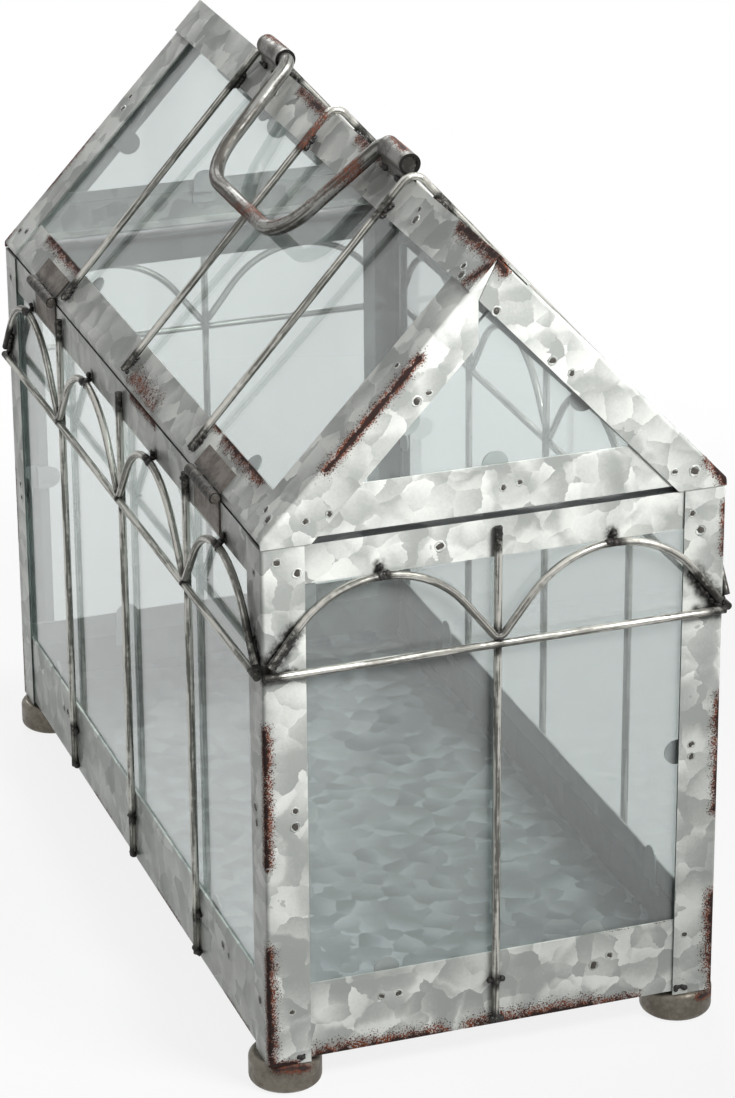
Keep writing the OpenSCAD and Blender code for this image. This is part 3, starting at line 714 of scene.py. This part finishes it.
def grown(name, source, tree_maker, values):
    """Runs a geometry node tree on a mesh and returns the result as a plain mesh object."""
    tree, keys = tree_maker(name + "_tree")
    holder = bpy.data.objects.new(name + "_source", source)
    bpy.context.scene.collection.objects.link(holder)
    modifier = holder.modifiers.new("Grow", "NODES")
    modifier.node_group = tree
    for key, value in values.items():
        modifier[keys[key]] = value
    evaluated = holder.evaluated_get(bpy.context.evaluated_depsgraph_get())
    mesh = bpy.data.meshes.new_from_object(evaluated)
    holder.modifiers.remove(modifier)
    bpy.data.objects.remove(holder)
    piece = bpy.data.objects.new(name, mesh)
    mesh.name = name
    bpy.context.scene.collection.objects.link(piece)
    return piece


# Wires

# Scorch on the wires: low and high on a mullion; from, to and out on a slope; along and up an arch's leg
MULLION_SOOT = ((3, 6), (20, 22), (159, 167), (200, 208))
ROOF_SOOT = ((3, 11, 1), (114, 121, 3.2))
LEG_SOOT, BAR_SOOT = (12, 15), 5
SOOT_WIDTH = {"mullion": 5, "peak": 8, "leg": 6, "bar": 5, "roof": 5, "tip": 8}
ROOF_RUST = [(on_slope(-1, 0, 115, 3), on_slope(-1, 0, 129, 4), 3.8)]
WIRE_SIDES, HANDLE_SIDES = 16, 32
STEEL_METAL = 0.75


def bent_route(steps, turn=math.radians(5)):
    """Points of a flat bent rod; each step is a straight length, then a bend's radius, angle and side."""
    x, z, heading = 0.0, 0.0, 0.0
    points = [(x, z)]
    for length, radius, angle, side in steps:
        x += length * math.sin(heading)
        z += length * math.cos(heading)
        points.append((x, z))
        parts = max(1, math.ceil(angle / turn)) if angle else 0
        middle = (x + side * radius * math.cos(heading), z - side * radius * math.sin(heading))
        for _ in range(parts):
            heading += side * angle / parts
            x = middle[0] - side * radius * math.cos(heading)
            z = middle[1] + side * radius * math.sin(heading)
            points.append((x, z))
    return points


def rising_route(steps, start, angle):
    """Points of a bent rod that leaves its start at an angle above the level."""
    return [(start[0] + x * math.sin(angle) + z * math.cos(angle),
             start[1] - x * math.cos(angle) + z * math.sin(angle)) for x, z in bent_route(steps)]


def arch_route(wire, span, bays):
    """The bent wire of one wall's arches, along the wall and up from the ends of the posts."""
    rise, vee, vee_bend, diameter = millimetres(wire, "rise", "vee", "vee_bend", "diameter")
    angle, bay = wire.angle, span / bays
    bends = (bay / 2 * math.tan(angle) - rise) * math.cos(angle) / (1 - math.cos(angle))
    arch_bend = bends - vee_bend
    leg = (bay / 2 - bends * math.sin(angle)) / math.cos(angle)
    end_rise = rise - arch_bend * (1 - math.cos(angle)) - diameter / 2 * math.cos(angle)
    end_leg = end_rise / math.sin(angle)
    start = (-span / 2 + bay / 2 - arch_bend * math.sin(angle) - end_leg * math.cos(angle),
             vee + rise - arch_bend * (1 - math.cos(angle)) - end_rise)
    steps = [(end_leg, arch_bend, 2 * angle, 1)]
    steps += [(leg, vee_bend, 2 * angle, -1), (leg, arch_bend, 2 * angle, 1)] * (bays - 1)
    return rising_route(steps + [(end_leg, 0, 0, 1)], start, angle)


def wire_tree(name):
    """Geometry nodes that lay a round, closed wire along each route."""
    wiring, given, keys = geometry_tree(name, {"Diameter": VALUE, "Sides": COUNT, "Finish": MATERIAL})
    radius = wiring.maths("DIVIDE", given["Diameter"], 2.0)
    ring = wiring.first("GeometryNodeCurvePrimitiveCircle", {"Resolution": given["Sides"], "Radius": radius})
    line = wiring.first("GeometryNodeMeshToCurve", {"Mesh": given["Geometry"]})
    share = wiring.add("GeometryNodeSplineParameter").outputs
    ring = wiring.first("GeometryNodeStoreNamedAttribute", {
        "Geometry": ring, "Name": "round", "Value": wiring.times(share["Factor"], math.tau)})
    line = wiring.first("GeometryNodeStoreNamedAttribute", {
        "Geometry": line, "Name": "along", "Value": share["Length"]})
    tube = wiring.first("GeometryNodeCurveToMesh", {"Curve": line, "Profile Curve": ring, "Fill Caps": True})
    end_tree(wiring, tube, [(given["Finish"], None)])
    return wiring.tree, keys


def rods(name, routes, diameter, sides, steel):
    """Round rods along routes of points in millimetres."""
    points, edges = [], []
    for route in routes:
        start = len(points)
        points += [Vector(point) * MM for point in route]
        edges += [(i, i + 1) for i in range(start, len(points) - 1)]
    mesh = bpy.data.meshes.new(name + "_routes")
    mesh.from_pydata(points, edges, [])
    return grown(name, mesh, wire_tree, {"Diameter": diameter, "Sides": sides, "Finish": steel})


def drawn_steel(name, bright, dull, rust_lines, soot_lines, dull_rough=0.5, bright_rough=0.36):
    """Drawn steel: bright and dull streaks along the rod, partly rub marks and partly painted reflections,
    with rust, and scorched at the welds.
    """
    finish = Finish(name)
    round_rod = finish.add("ShaderNodeAttribute", attribute_name="round").outputs["Fac"]
    along = finish.add("ShaderNodeAttribute", attribute_name="along").outputs["Fac"]
    # Streaks around the rod: partly rub marks, partly painted reflections of light and dark surroundings
    unrolled = finish.first("ShaderNodeCombineXYZ", {
        "X": finish.maths("COSINE", round_rod), "Y": finish.maths("SINE", round_rod),
        "Z": finish.times(along, 22.0)})
    streaks = finish.noise(unrolled, 1.7, 2, 0.5)
    marks = finish.noise(finish.place, 420, 3, 0.55)
    rub_and_reflection = finish.ramp(finish.plus(streaks, finish.swing(marks, 0.25)), 0.42, 0.58)
    colour = finish.mix(rub_and_reflection, rgba(dull), rgba(bright))
    rough = finish.between(rub_and_reflection, dull_rough, bright_rough)
    normal = finish.bump(finish.noise(finish.place, 700, 2), 0.1, 0.0003)
    return finish.weathered(colour, rough, STEEL_METAL, normal, rust_lines, soot_lines)


class GREENHOUSE_OT_tracery(bpy.types.Operator):
    """Crossbars, bent arches and mullions of the four walls"""
    bl_idname = "greenhouse.tracery"
    bl_label = "Wire tracery"

    def execute(self, context):
        wire = context.scene.greenhouse_wire
        bar, vee, rise, out = millimetres(wire, "crossbar", "vee", "rise", "out")
        low, drop, mullion_out = millimetres(wire, "mullion_low", "mullion_drop", "mullion_out")
        for wall, at, span, bays in wall_places():
            end, bay = span / 2, span / bays
            routes = [[at(-end, bar, out), at(end, bar, out)],
                      [at(x, z, out) for x, z in arch_route(wire, span, bays)]]
            soot = []
            for i in range(1, bays):
                along = i * bay - end
                routes.append([at(along, low, mullion_out), at(along, TALL - drop, mullion_out)])
                soot += [(at(along, foot, 1), at(along, head, 1), SOOT_WIDTH["mullion"])
                         for foot, head in MULLION_SOOT]
            for i in range(bays):
                peak = at((i + 0.5) * bay - end, vee + rise, out)
                soot.append((peak, peak, SOOT_WIDTH["peak"]))
            for side in (-1, 1):
                corner = at(side * end, bar, out)
                leg = at(side * (end - LEG_SOOT[0]), bar + LEG_SOOT[1], out)
                soot.append((corner, leg, SOOT_WIDTH["leg"]))
                soot.append((corner, at(side * (end - BAR_SOOT), bar, out), SOOT_WIDTH["bar"]))
            steel = drawn_steel("wire_steel_" + wall, wire.bright, wire.dull, None, soot)
            piece = rods("wires_" + wall, routes, wire.diameter, WIRE_SIDES, steel)
            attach(piece, "case")
            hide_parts("tracery_" + wall)
        return {"FINISHED"}


class GREENHOUSE_OT_roof_wires(bpy.types.Operator):
    """Three wires bent over the ridge"""
    bl_idname = "greenhouse.roof_wires"
    bl_label = "Roof wires"

    def execute(self, context):
        wire = context.scene.greenhouse_wire
        from_eave, low, lift, diameter = millimetres(wire, "roof_start", "roof_low", "roof_lift", "diameter")
        start = on_slope(-1, 0, from_eave, low)
        angle = PITCH + math.atan2(lift, SLOPE_LENGTH - STRIP_WIDTH - from_eave)
        corner = start.z - start.x * math.tan(angle)
        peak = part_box("roof_wires")[1].z / MM - diameter / 2
        bend = (corner - peak) / (1 / math.cos(angle) - 1)
        straight = (-start.x - bend * math.sin(angle)) / math.cos(angle)
        steps = [(straight, bend, 2 * angle, 1), (straight, 0, 0, 1)]
        routes, soot = [], []
        for y in ROOF_WIRE_PLACES:
            routes.append([(x, y, z) for x, z in rising_route(steps, (start.x, start.z), angle)])
            for side in (-1, 1):
                soot += [(on_slope(side, y, up, out), on_slope(side, y, reach, out), SOOT_WIDTH["roof"])
                         for up, reach, out in ROOF_SOOT]
        steel = drawn_steel("wire_steel_roof", wire.bright, wire.dull, ROOF_RUST, soot)
        piece = rods("roof_bars", routes, wire.diameter, WIRE_SIDES, steel)
        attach(piece, "lid")
        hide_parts("roof_wires")
        return {"FINISHED"}


# Handle, eyes, hinges and feet

# Rust on the handle: from and to, each as a place along the axis and a depth below it, and a width
HANDLE_RUST = (((-40, 46), (-54, 14), 7.6), ((-40, 46), (-6, 56), 7.4), ((-6, 56), (34, 54), 4.1))
EYE_HIGH = HANDLE_AXIS.z + 4
EYE_RUST = [((0, -80, EYE_HIGH), (2, -62, EYE_HIGH), 3.6), ((2, 66, EYE_HIGH - 1), (0, 84, EYE_HIGH), 3.2)]
FOOT_RUST = [((-88, -178, 11), (-72, -180, 10), 3.4), ((84, -180, 10), (94, -172, 8), 3.6)]
HINGE_LENGTH = 34
# Width of the darkening along each hinge's axis, in millimetres
HINGE_DARKENING = 7.5


def worn_steel(name, steel, patina, rough=0.38, metal=STEEL_METAL, rust_lines=None, soot_lines=None,
               dark_end_way=None):
    """Handled steel with brown patina and rust, near black on the faces that look along the given way."""
    finish = Finish(name)
    blotch = finish.noise(finish.place, 70, 5, 0.62)
    fine = finish.noise(finish.place, 520, 4, 0.6)
    share = finish.ramp(finish.plus(blotch, finish.swing(fine, 0.5)), 0.36, 0.66)
    colour = finish.mix(share, rgba(steel), rgba(patina))
    roughness = finish.between(share, rough, rough + 0.2)
    # Faces that look along the given way are coloured near black
    if dark_end_way:
        facing = finish.maths("ABSOLUTE", finish.dot(finish.facing, dark_end_way))
        black = bpy.context.scene.greenhouse_weld.black
        colour = finish.mix(finish.ramp(facing, 0.6, 0.9), colour, rgba(black))
    return finish.weathered(colour, roughness, metal, finish.bump(fine, 0.25, 0.0003), rust_lines, soot_lines)


class GREENHOUSE_OT_handle(bpy.types.Operator):
    """Bent rod of the handle, and the eyes that carry it"""
    bl_idname = "greenhouse.handle"
    bl_label = "Handle"

    def execute(self, context):
        handle = context.scene.greenhouse_handle
        rod, drop, inner = millimetres(handle, "rod", "drop", "inner")
        end_bend, grip_bend = millimetres(handle, "end_bend", "grip_bend")
        low, high = (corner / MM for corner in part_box("handle"))
        axis, end, lean = Vector((0, 0, HANDLE_AXIS.z)), high.y, handle.lean
        down = (Vector((low.x + rod / 2, 0, low.z + rod / 2)) - axis).normalized()

        def on_handle(y, depth):
            return axis + Vector((0, y, 0)) + down * depth

        corner, bends = math.pi / 2 - lean, end_bend + grip_bend
        arm = (drop - bends * (1 - math.sin(lean))) / math.cos(lean)
        across = 2 * (inner - bends * math.cos(lean) - arm * math.sin(lean))
        steps = [(end - inner, end_bend, corner, 1), (arm, grip_bend, corner, -1),
                 (across, grip_bend, corner, -1), (arm, end_bend, corner, 1), (end - inner, 0, 0, 1)]
        route = [on_handle(end - along, depth) for depth, along in bent_route(steps)]
        rust = [(on_handle(*start), on_handle(*reach), width) for start, reach, width in HANDLE_RUST]
        # The rod is darkened at both ends, where it sits in the eyes
        soot = [(tip, tip, SOOT_WIDTH["tip"]) for tip in (route[0], route[-1])]
        steel = drawn_steel("handle_steel", handle.bright, handle.patina, rust, soot,
                            dull_rough=0.6, bright_rough=0.42)
        piece = rods("handle_rod", [route], handle.rod, HANDLE_SIDES, steel)
        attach(piece, "handle")
        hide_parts("handle")
        # The eyes' end faces, which look along the ridge, are coloured near black
        dress(worn_steel("eye_steel", handle.steel, handle.patina, rust_lines=EYE_RUST, dark_end_way=(0, 1, 0)),
              "handle_eyes")
        return {"FINISHED"}


class GREENHOUSE_OT_hinges(bpy.types.Operator):
    """Browned hinges"""
    bl_idname = "greenhouse.hinges"
    bl_label = "Hinges"

    def execute(self, context):
        fittings = context.scene.greenhouse_fittings
        outer = -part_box("hinge_pins")[0].y / MM
        # The hinges are darker along their axis, over the knuckles
        soot = [(LID_AXIS + Vector((0, side * outer, 0)),
                 LID_AXIS + Vector((0, side * (outer - HINGE_LENGTH), 0)), HINGE_DARKENING) for side in (-1, 1)]
        plate = worn_steel("hinge_steel", fittings.hinge, fittings.hinge_patina, rough=0.5, metal=0.5,
                           soot_lines=soot)
        dress(plate, "hinge_wall_leaves", "hinge_roof_leaves")
        dress(worn_steel("pin_steel", fittings.pin, fittings.pin_patina, rough=0.45, metal=0.6), "hinge_pins")
        return {"FINISHED"}


class GREENHOUSE_OT_feet(bpy.types.Operator):
    """Button feet"""
    bl_idname = "greenhouse.feet"
    bl_label = "Feet"

    def execute(self, context):
        fittings = context.scene.greenhouse_fittings
        steel = worn_steel("foot_steel", fittings.foot, fittings.foot_patina, rough=0.34, metal=0.8,
                           rust_lines=FOOT_RUST)
        dress(steel, "feet")
        return {"FINISHED"}


# Welds

def bead_tree(name):
    """Geometry nodes that heap a few lumps on each point, as large as the point's size says."""
    wiring, given, keys = geometry_tree(name, {"Bead": VALUE, "Spread": VALUE, "Finish": MATERIAL})
    size = stored(wiring, "size", "FLOAT")
    points = wiring.first("GeometryNodeMeshToPoints", {"Mesh": given["Geometry"]})
    heap = wiring.first("GeometryNodeDuplicateElements", {"Geometry": points, "Amount": 2}, domain="POINT")
    aside = wiring.first("FunctionNodeRandomValue", {0: (-1, -1, -1), 1: (1, 1, 1), "Seed": 4},
                         data_type="FLOAT_VECTOR")
    aside = wiring.vector("SCALE", aside, wiring.times(given["Spread"], size))
    strewn = wiring.first("GeometryNodeSetPosition", {"Geometry": heap, "Offset": aside})
    lump = wiring.first("GeometryNodeMeshIcoSphere", {"Radius": given["Bead"], "Subdivisions": 2})
    lumps = wiring.first("GeometryNodeInstanceOnPoints", {
        "Points": strewn, "Instance": lump, "Scale": wiring.times(chance(wiring, 0.4, 1.1, 9), size)})
    end_tree(wiring, lumps, [(given["Finish"], None)], (800, wiring.times(given["Bead"], 0.9)))
    return wiring.tree, keys


def spot_tree(name):
    """Geometry nodes that set a spot weld on each point: a raised ring round a burnt pit."""
    wiring, given, keys = geometry_tree(name, {"Spot": VALUE, "Ring": MATERIAL, "Pit": MATERIAL})
    wide = given["Spot"]
    circle = wiring.first("GeometryNodeCurvePrimitiveCircle", {"Resolution": 18, "Radius": wide})
    bead = wiring.first("GeometryNodeCurvePrimitiveCircle",
                        {"Resolution": 8, "Radius": wiring.times(wide, 0.2)})
    ring = wiring.first("GeometryNodeCurveToMesh", {"Curve": circle, "Profile Curve": bead})
    ring = wiring.first("GeometryNodeTransform", {"Geometry": ring, "Scale": (1, 1, 0.5)})
    pit = wiring.first("GeometryNodeMeshUVSphere",
                       {"Segments": 14, "Rings": 8, "Radius": wiring.times(wide, 0.92)})
    pit = wiring.first("GeometryNodeTransform", {"Geometry": pit, "Scale": (1, 0.72, 0.14)})
    pit = wiring.first("GeometryNodeStoreNamedAttribute", {"Geometry": pit, "Name": "burnt", "Value": True},
                       data_type="BOOLEAN", domain="FACE")
    both = wiring.add("GeometryNodeJoinGeometry")
    for part in (ring, pit):
        wiring.put(both.inputs[0], part)
    turned = wiring.first("FunctionNodeAlignRotationToVector",
                          {"Vector": stored(wiring, "facing", "FLOAT_VECTOR")}, axis="Z")
    spin = wiring.first("FunctionNodeAxisAngleToRotation",
                        {"Axis": (0, 0, 1), "Angle": chance(wiring, 0.0, 6.28, 2)})
    spun = wiring.first("FunctionNodeRotateRotation", {"Rotation": turned, "Rotate By": spin},
                        rotation_space="LOCAL")
    points = wiring.first("GeometryNodeMeshToPoints", {"Mesh": given["Geometry"]})
    spots = wiring.first("GeometryNodeInstanceOnPoints", {
        "Points": points, "Instance": both.outputs[0], "Rotation": spun,
        "Scale": chance(wiring, 0.65, 1.15, 6)})
    finishes = [(given["Ring"], None), (given["Pit"], stored(wiring, "burnt", "BOOLEAN"))]
    end_tree(wiring, spots, finishes, (1300, wiring.times(wide, 0.55)))
    return wiring.tree, keys


def marked_points(name, places, attribute, kind, field):
    """A mesh of loose points, in millimetres, with one value at each."""
    mesh = bpy.data.meshes.new(name)
    mesh.from_pydata([Vector(place) * MM for place, _ in places], [], [])
    values = mesh.attributes.new(attribute, kind, "POINT")
    for i, (_, value) in enumerate(places):
        setattr(values.data[i], field, value)
    return mesh


def burnt_scale(name, black):
    """Burnt scale, nearly black, with brown specks."""
    finish = Finish(name)
    specks = finish.noise(finish.place, 900, 3, 0.6)
    colour = finish.mix(finish.ramp(specks, 0.55, 0.7), rgba(black),
                        rgba(bpy.context.scene.greenhouse_weld.speck))
    finish.surface({"Base Color": colour, "Roughness": finish.ramp(specks, 0.3, 0.7, 0.4, 0.7),
                    "Metallic": 0.2, "Normal": finish.bump(specks, 0.5, 0.0004)})
    return finish.material


# Welds of a roof wire: from and to, each up the slope and out of it, and size
ROOF_WELDS = (((3.5, 0.2), (10, 0.2), 0.66), ((115, 1.6), (120.5, 1.8), 0.68))
BESIDE_WIRE = 1.2
# Welds of an eye: from and to, inward from its end; aside of the ridge, below its top, and size
EYE_WELDS = ((2, 7), (18, 22))
EYE_ASIDE, EYE_BELOW, EYE_SIZE = 2.9, 1.6, 0.7


def weld_run(start, end, size, step=1.2):
    """Places of beads along a weld, each with its size."""
    parts = max(1, round((end - start).length / step))
    return [(start.lerp(end, i / parts), size) for i in range(parts + 1)]


class GREENHOUSE_OT_welds(bpy.types.Operator):
    """Black weld beads where wires cross, at the ends of wires and at the feet of the posts"""
    bl_idname = "greenhouse.welds"
    bl_label = "Welds"

    def execute(self, context):
        weld = context.scene.greenhouse_weld
        scale = burnt_scale("weld_scale", weld.black)
        for body, places in (("case", self.case_welds(context)), ("lid", self.lid_welds())):
            source = marked_points("weld_points_" + body, places, "size", "FLOAT", "value")
            piece = grown("welds_" + body, source, bead_tree,
                          {"Bead": weld.bead, "Spread": weld.spread, "Finish": scale})
            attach(piece, body)
        return {"FINISHED"}

    def case_welds(self, context):
        """Welds of the walls; each run goes from one place along, up and out to another."""
        bar, vee, rise = millimetres(context.scene.greenhouse_wire, "crossbar", "vee", "rise")
        peak = vee + rise
        places = []
        for wall, at, span, bays in wall_places():
            runs = []
            for i in range(bays):
                along = (i + 0.5) * span / bays - span / 2
                runs += [((along - 2.4, peak + 0.3, 2.5), (along + 2.4, peak + 0.3, 2.5), 0.95),
                         ((along, peak + 1.5, 0.8), (along, peak + 3.5, 0.4), 0.75)]
            for i in range(1, bays):
                along = i * span / bays - span / 2
                runs += [((along, bar, 2.6), (along, bar + 4, 2.2), 0.8),
                         ((along - 2, 4.5, 0.8), (along + 2, 4.5, 0.8), 0.85),
                         ((along - 2.4, 21, 0.6), (along + 2.4, 21, 0.6), 0.8),
                         ((along, 202, 1.0), (along, 206, 1.0), 0.8)]
            for side in (-1, 1):
                end = side * span / 2
                runs += [((end - side * 1.5, bar, 1.6), (end - side * 4, bar, 1.6), 0.75),
                         ((end - side * 3, bar + 1.5, 1.2), (end - side * 10.5, bar + 11.5, 1.2), 0.68)]
                if wall in ("front", "back"):
                    runs.append(((end - side * 11.6, 2.8, -0.2), (end - side * 14.8, 2.8, -0.2), 0.82))
            for start, reach, size in runs:
                places += weld_run(at(*start), at(*reach), size)
        return places

    def lid_welds(self):
        """Welds at both ends of the roof wires, and on both sides of the eyes."""
        places = []
        for y in ROOF_WIRE_PLACES:
            for side in (-1, 1):
                for beside in (y - BESIDE_WIRE, y + BESIDE_WIRE):
                    for start, reach, size in ROOF_WELDS:
                        places += weld_run(on_slope(side, beside, *start),
                                           on_slope(side, beside, *reach), size)
        eye_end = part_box("handle_eyes")[1].y / MM
        for end in (-1, 1):
            for side in (-1, 1):
                for run in EYE_WELDS:
                    start, reach = (Vector((side * EYE_ASIDE, end * (eye_end - inward), RIDGE - EYE_BELOW))
                                    for inward in run)
                    places += weld_run(start, reach, EYE_SIZE)
        return places


# Spot welds: a place on the wall or slope, and the depth of their strip below the outermost one

SPOTS_FRONT = (
    (-76.4, 211.9, 0), (-84, 217, 0), (-78.4, 117.7, 0), (-78.5, 111.2, 0), (-80.7, 34.4, 0),
    (78.6, 118.7, 0), (78.7, 113.7, 0), (77.8, 37.9, 0), (80, 206, 0), (76.6, 213, 0),
    (-45.2, 34, 0.8), (-38.4, 34, 0.8), (40.7, 31, 0.8), (47.2, 34.1, 0.8), (-22, 214, 0.8))
SPOTS_GABLE = (
    (-1, 301.4, 0), (20.5, 280, 0), (28, 274.4, 0), (-31, 271.4, 0), (-26.5, 274, 0), (-73, 231.4, 0),
    (-64, 233, 0), (69, 230.4, 0), (77, 229.8, 0), (2.4, 233.4, 0.8), (8.5, 234.7, 0.8))
SPOTS_SLOPE = (
    (-165, 9.6, 0), (-171, 7.7, 0), (-163, 121, -0.8), (-111, 122, -0.8), (-108, 126, -0.8),
    (-166, 118, -0.8), (56, 123, -0.8), (62, 124, -0.8), (171, 82, 0), (169, 76, 0), (-171, 79, 0),
    (165, 9.6, 0), (171, 7.7, 0))
SPOTS_SIDE = (
    (-170, 211, 0), (-167, 116, 0), (-168, 110, 0), (-168, 36, 0), (170, 211, 0), (168, 116, 0),
    (167, 110, 0), (-126, 33, 0.8), (-119, 34, 0.8), (104, 34, 0.8), (110, 33, 0.8))
SPOT_SEED = 40


class GREENHOUSE_OT_spot_welds(bpy.types.Operator):
    """Spot welds that hold the clips and join the strips"""
    bl_idname = "greenhouse.spot_welds"
    bl_label = "Spot welds"

    def execute(self, context):
        weld, sheet = context.scene.greenhouse_weld, context.scene.greenhouse_sheet
        ring = galvanised("spot_rings", sheet.light, sheet.dark, SPOT_SEED)
        pit = burnt_scale("spot_pits", weld.pit)
        forward, aside = Vector((0, -1, 0)), Vector((-1, 0, 0))
        outward = Vector((-math.sin(PITCH), 0, math.cos(PITCH)))
        case = [(Vector((x, depth - LONG, z)), forward) for x, z, depth in SPOTS_FRONT]
        case += [(Vector((depth - WIDE, y, z)), aside) for y, z, depth in SPOTS_SIDE]
        lid = [(Vector((x, depth - LONG, z)), forward) for x, z, depth in SPOTS_GABLE]
        lid += [(on_slope(-1, y, up, -depth), outward) for y, up, depth in SPOTS_SLOPE]
        half_turn = Matrix.Rotation(math.pi, 3, "Z")
        for body, places in (("case", case), ("lid", lid)):
            places += [(half_turn @ place, half_turn @ facing) for place, facing in places]
            source = marked_points("spot_points_" + body, places, "facing", "FLOAT_VECTOR", "vector")
            piece = grown("spot_welds_" + body, source, spot_tree,
                          {"Spot": weld.spot, "Ring": ring, "Pit": pit})
            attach(piece, body)
        return {"FINISHED"}


# Stage

# Each lamp's name, place, aim and size in metres, and spread in degrees
LAMPS = (("key", (0.32, -0.62, 0.80), (0.0, -0.16, 0.37), 0.45, 44),
         ("top", (-0.30, 0.10, 1.70), (0.0, 0.0, 0.15), 1.0, 180),
         ("rear", (0.20, 1.10, 0.85), (0.0, 0.16, 0.24), 0.6, 70))
FLOOR_REACH = 4.0
# The floor turns white away from the part: from and to in metres, and the share of white at both
FLOOR_WHITE = (0.20, 0.60, 0.85, 1.0)
SENSOR = 36
WHITE = (1, 1, 1, 1)


def background_rays(wiring):
    """1 for the rays that show the background: from the camera, and through metal and glass."""
    rays = wiring.add("ShaderNodeLightPath").outputs
    mirrored = wiring.highest(rays["Is Glossy Ray"], rays["Is Transmission Ray"])
    return wiring.highest(rays["Is Camera Ray"], mirrored)


class GREENHOUSE_OT_stage(bpy.types.Operator):
    """Camera, floor and soft lamps"""
    bl_idname = "greenhouse.stage"
    bl_label = "Stage"

    def execute(self, context):
        stage = context.scene.greenhouse_stage
        self.camera(context, stage)
        self.floor(context, stage)
        self.world(context, stage)
        for name, place, aim, size, spread in LAMPS:
            self.lamp(context, name + "_lamp", place, aim, size, spread, getattr(stage, name))
        context.scene.view_settings.view_transform = "Standard"
        return {"FINISHED"}

    def camera(self, context, stage):
        turn, tilt, roll = stage.azimuth, stage.elevation, stage.roll
        behind = Vector((math.sin(turn) * math.cos(tilt), -math.cos(turn) * math.cos(tilt), math.sin(tilt)))
        across = Vector((math.cos(turn), math.sin(turn), 0))
        upward = behind.cross(across)
        rolled = across * math.cos(roll) + upward * math.sin(roll)
        upright_way = upward * math.cos(roll) - across * math.sin(roll)
        data = bpy.data.cameras.new("camera")
        data.sensor_width = SENSOR
        data.lens = stage.lens
        data.clip_end = 50
        camera = bpy.data.objects.new("camera", data)
        turned = Matrix((rolled, upright_way, behind)).transposed().to_4x4()
        camera.matrix_world = Matrix.Translation(Vector(stage.camera)) @ turned
        context.scene.collection.objects.link(camera)
        context.scene.camera = camera

    def floor(self, context, stage):
        mesh = bpy.data.meshes.new("floor")
        corners = ((-1, -1), (1, -1), (1, 1), (-1, 1))
        mesh.from_pydata([(x * FLOOR_REACH, y * FLOOR_REACH, 0) for x, y in corners], [], [(0, 1, 2, 3)])
        floor = bpy.data.objects.new("floor", mesh)
        context.scene.collection.objects.link(floor)
        finish = Finish("floor_paper")
        finish.surface({"Base Color": rgba(stage.floor), "Roughness": 0.9})
        white = finish.first("ShaderNodeEmission", {"Color": WHITE, "Strength": 1.0})
        away = finish.vector("LENGTH", finish.place, output="Value")
        share = finish.times(background_rays(finish), finish.ramp(away, *FLOOR_WHITE))
        finish.output("Surface", finish.add(
            "ShaderNodeMixShader", {0: share, 1: finish.shader.outputs[0], 2: white}))
        mesh.materials.append(finish.material)

    def world(self, context, stage):
        world = bpy.data.worlds.new("studio")
        world.use_nodes = True
        context.scene.world = world
        wiring = Wiring(world.node_tree)
        backdrop = world.node_tree.nodes["Background"]
        wiring.put(backdrop.inputs["Color"], WHITE)
        wiring.put(backdrop.inputs["Strength"], wiring.between(background_rays(wiring), stage.ambient, 1.0))

    def lamp(self, context, name, place, aim, size, spread, power):
        data = bpy.data.lights.new(name, "AREA")
        data.size = size
        data.energy = power
        data.spread = math.radians(spread)
        lamp = bpy.data.objects.new(name, data)
        lamp.location = place
        lamp.visible_camera = False
        lamp.rotation_euler = (Vector(aim) - Vector(place)).to_track_quat("-Z", "Y").to_euler()
        context.scene.collection.objects.link(lamp)


OPERATORS = (GREENHOUSE_OT_strips, GREENHOUSE_OT_panes, GREENHOUSE_OT_tracery, GREENHOUSE_OT_roof_wires,
             GREENHOUSE_OT_handle, GREENHOUSE_OT_hinges, GREENHOUSE_OT_feet, GREENHOUSE_OT_welds,
             GREENHOUSE_OT_spot_welds, GREENHOUSE_OT_stage)


class GREENHOUSE_PT_panel(bpy.types.Panel):
    """Lists the steps that dress the greenhouse"""
    bl_label = "Greenhouse"
    bl_idname = "GREENHOUSE_PT_panel"
    bl_space_type = "VIEW_3D"
    bl_region_type = "UI"
    bl_category = "Greenhouse"

    def draw(self, context):
        for step in OPERATORS:
            self.layout.operator(step.bl_idname)


CLASSES = (*GROUPS.values(), *OPERATORS, GREENHOUSE_PT_panel)


def register():
    for made in CLASSES:
        bpy.utils.register_class(made)
    for name, group in GROUPS.items():
        setattr(bpy.types.Scene, name, PointerProperty(type=group))


def unregister():
    for name in GROUPS:
        delattr(bpy.types.Scene, name)
    for made in reversed(CLASSES):
        bpy.utils.unregister_class(made)


def main():
    register()
    for step in OPERATORS:
        area, name = step.bl_idname.split(".")
        getattr(getattr(bpy.ops, area), name)()
    bpy.context.view_layer.update()


if __name__ == "__main__":
    main()
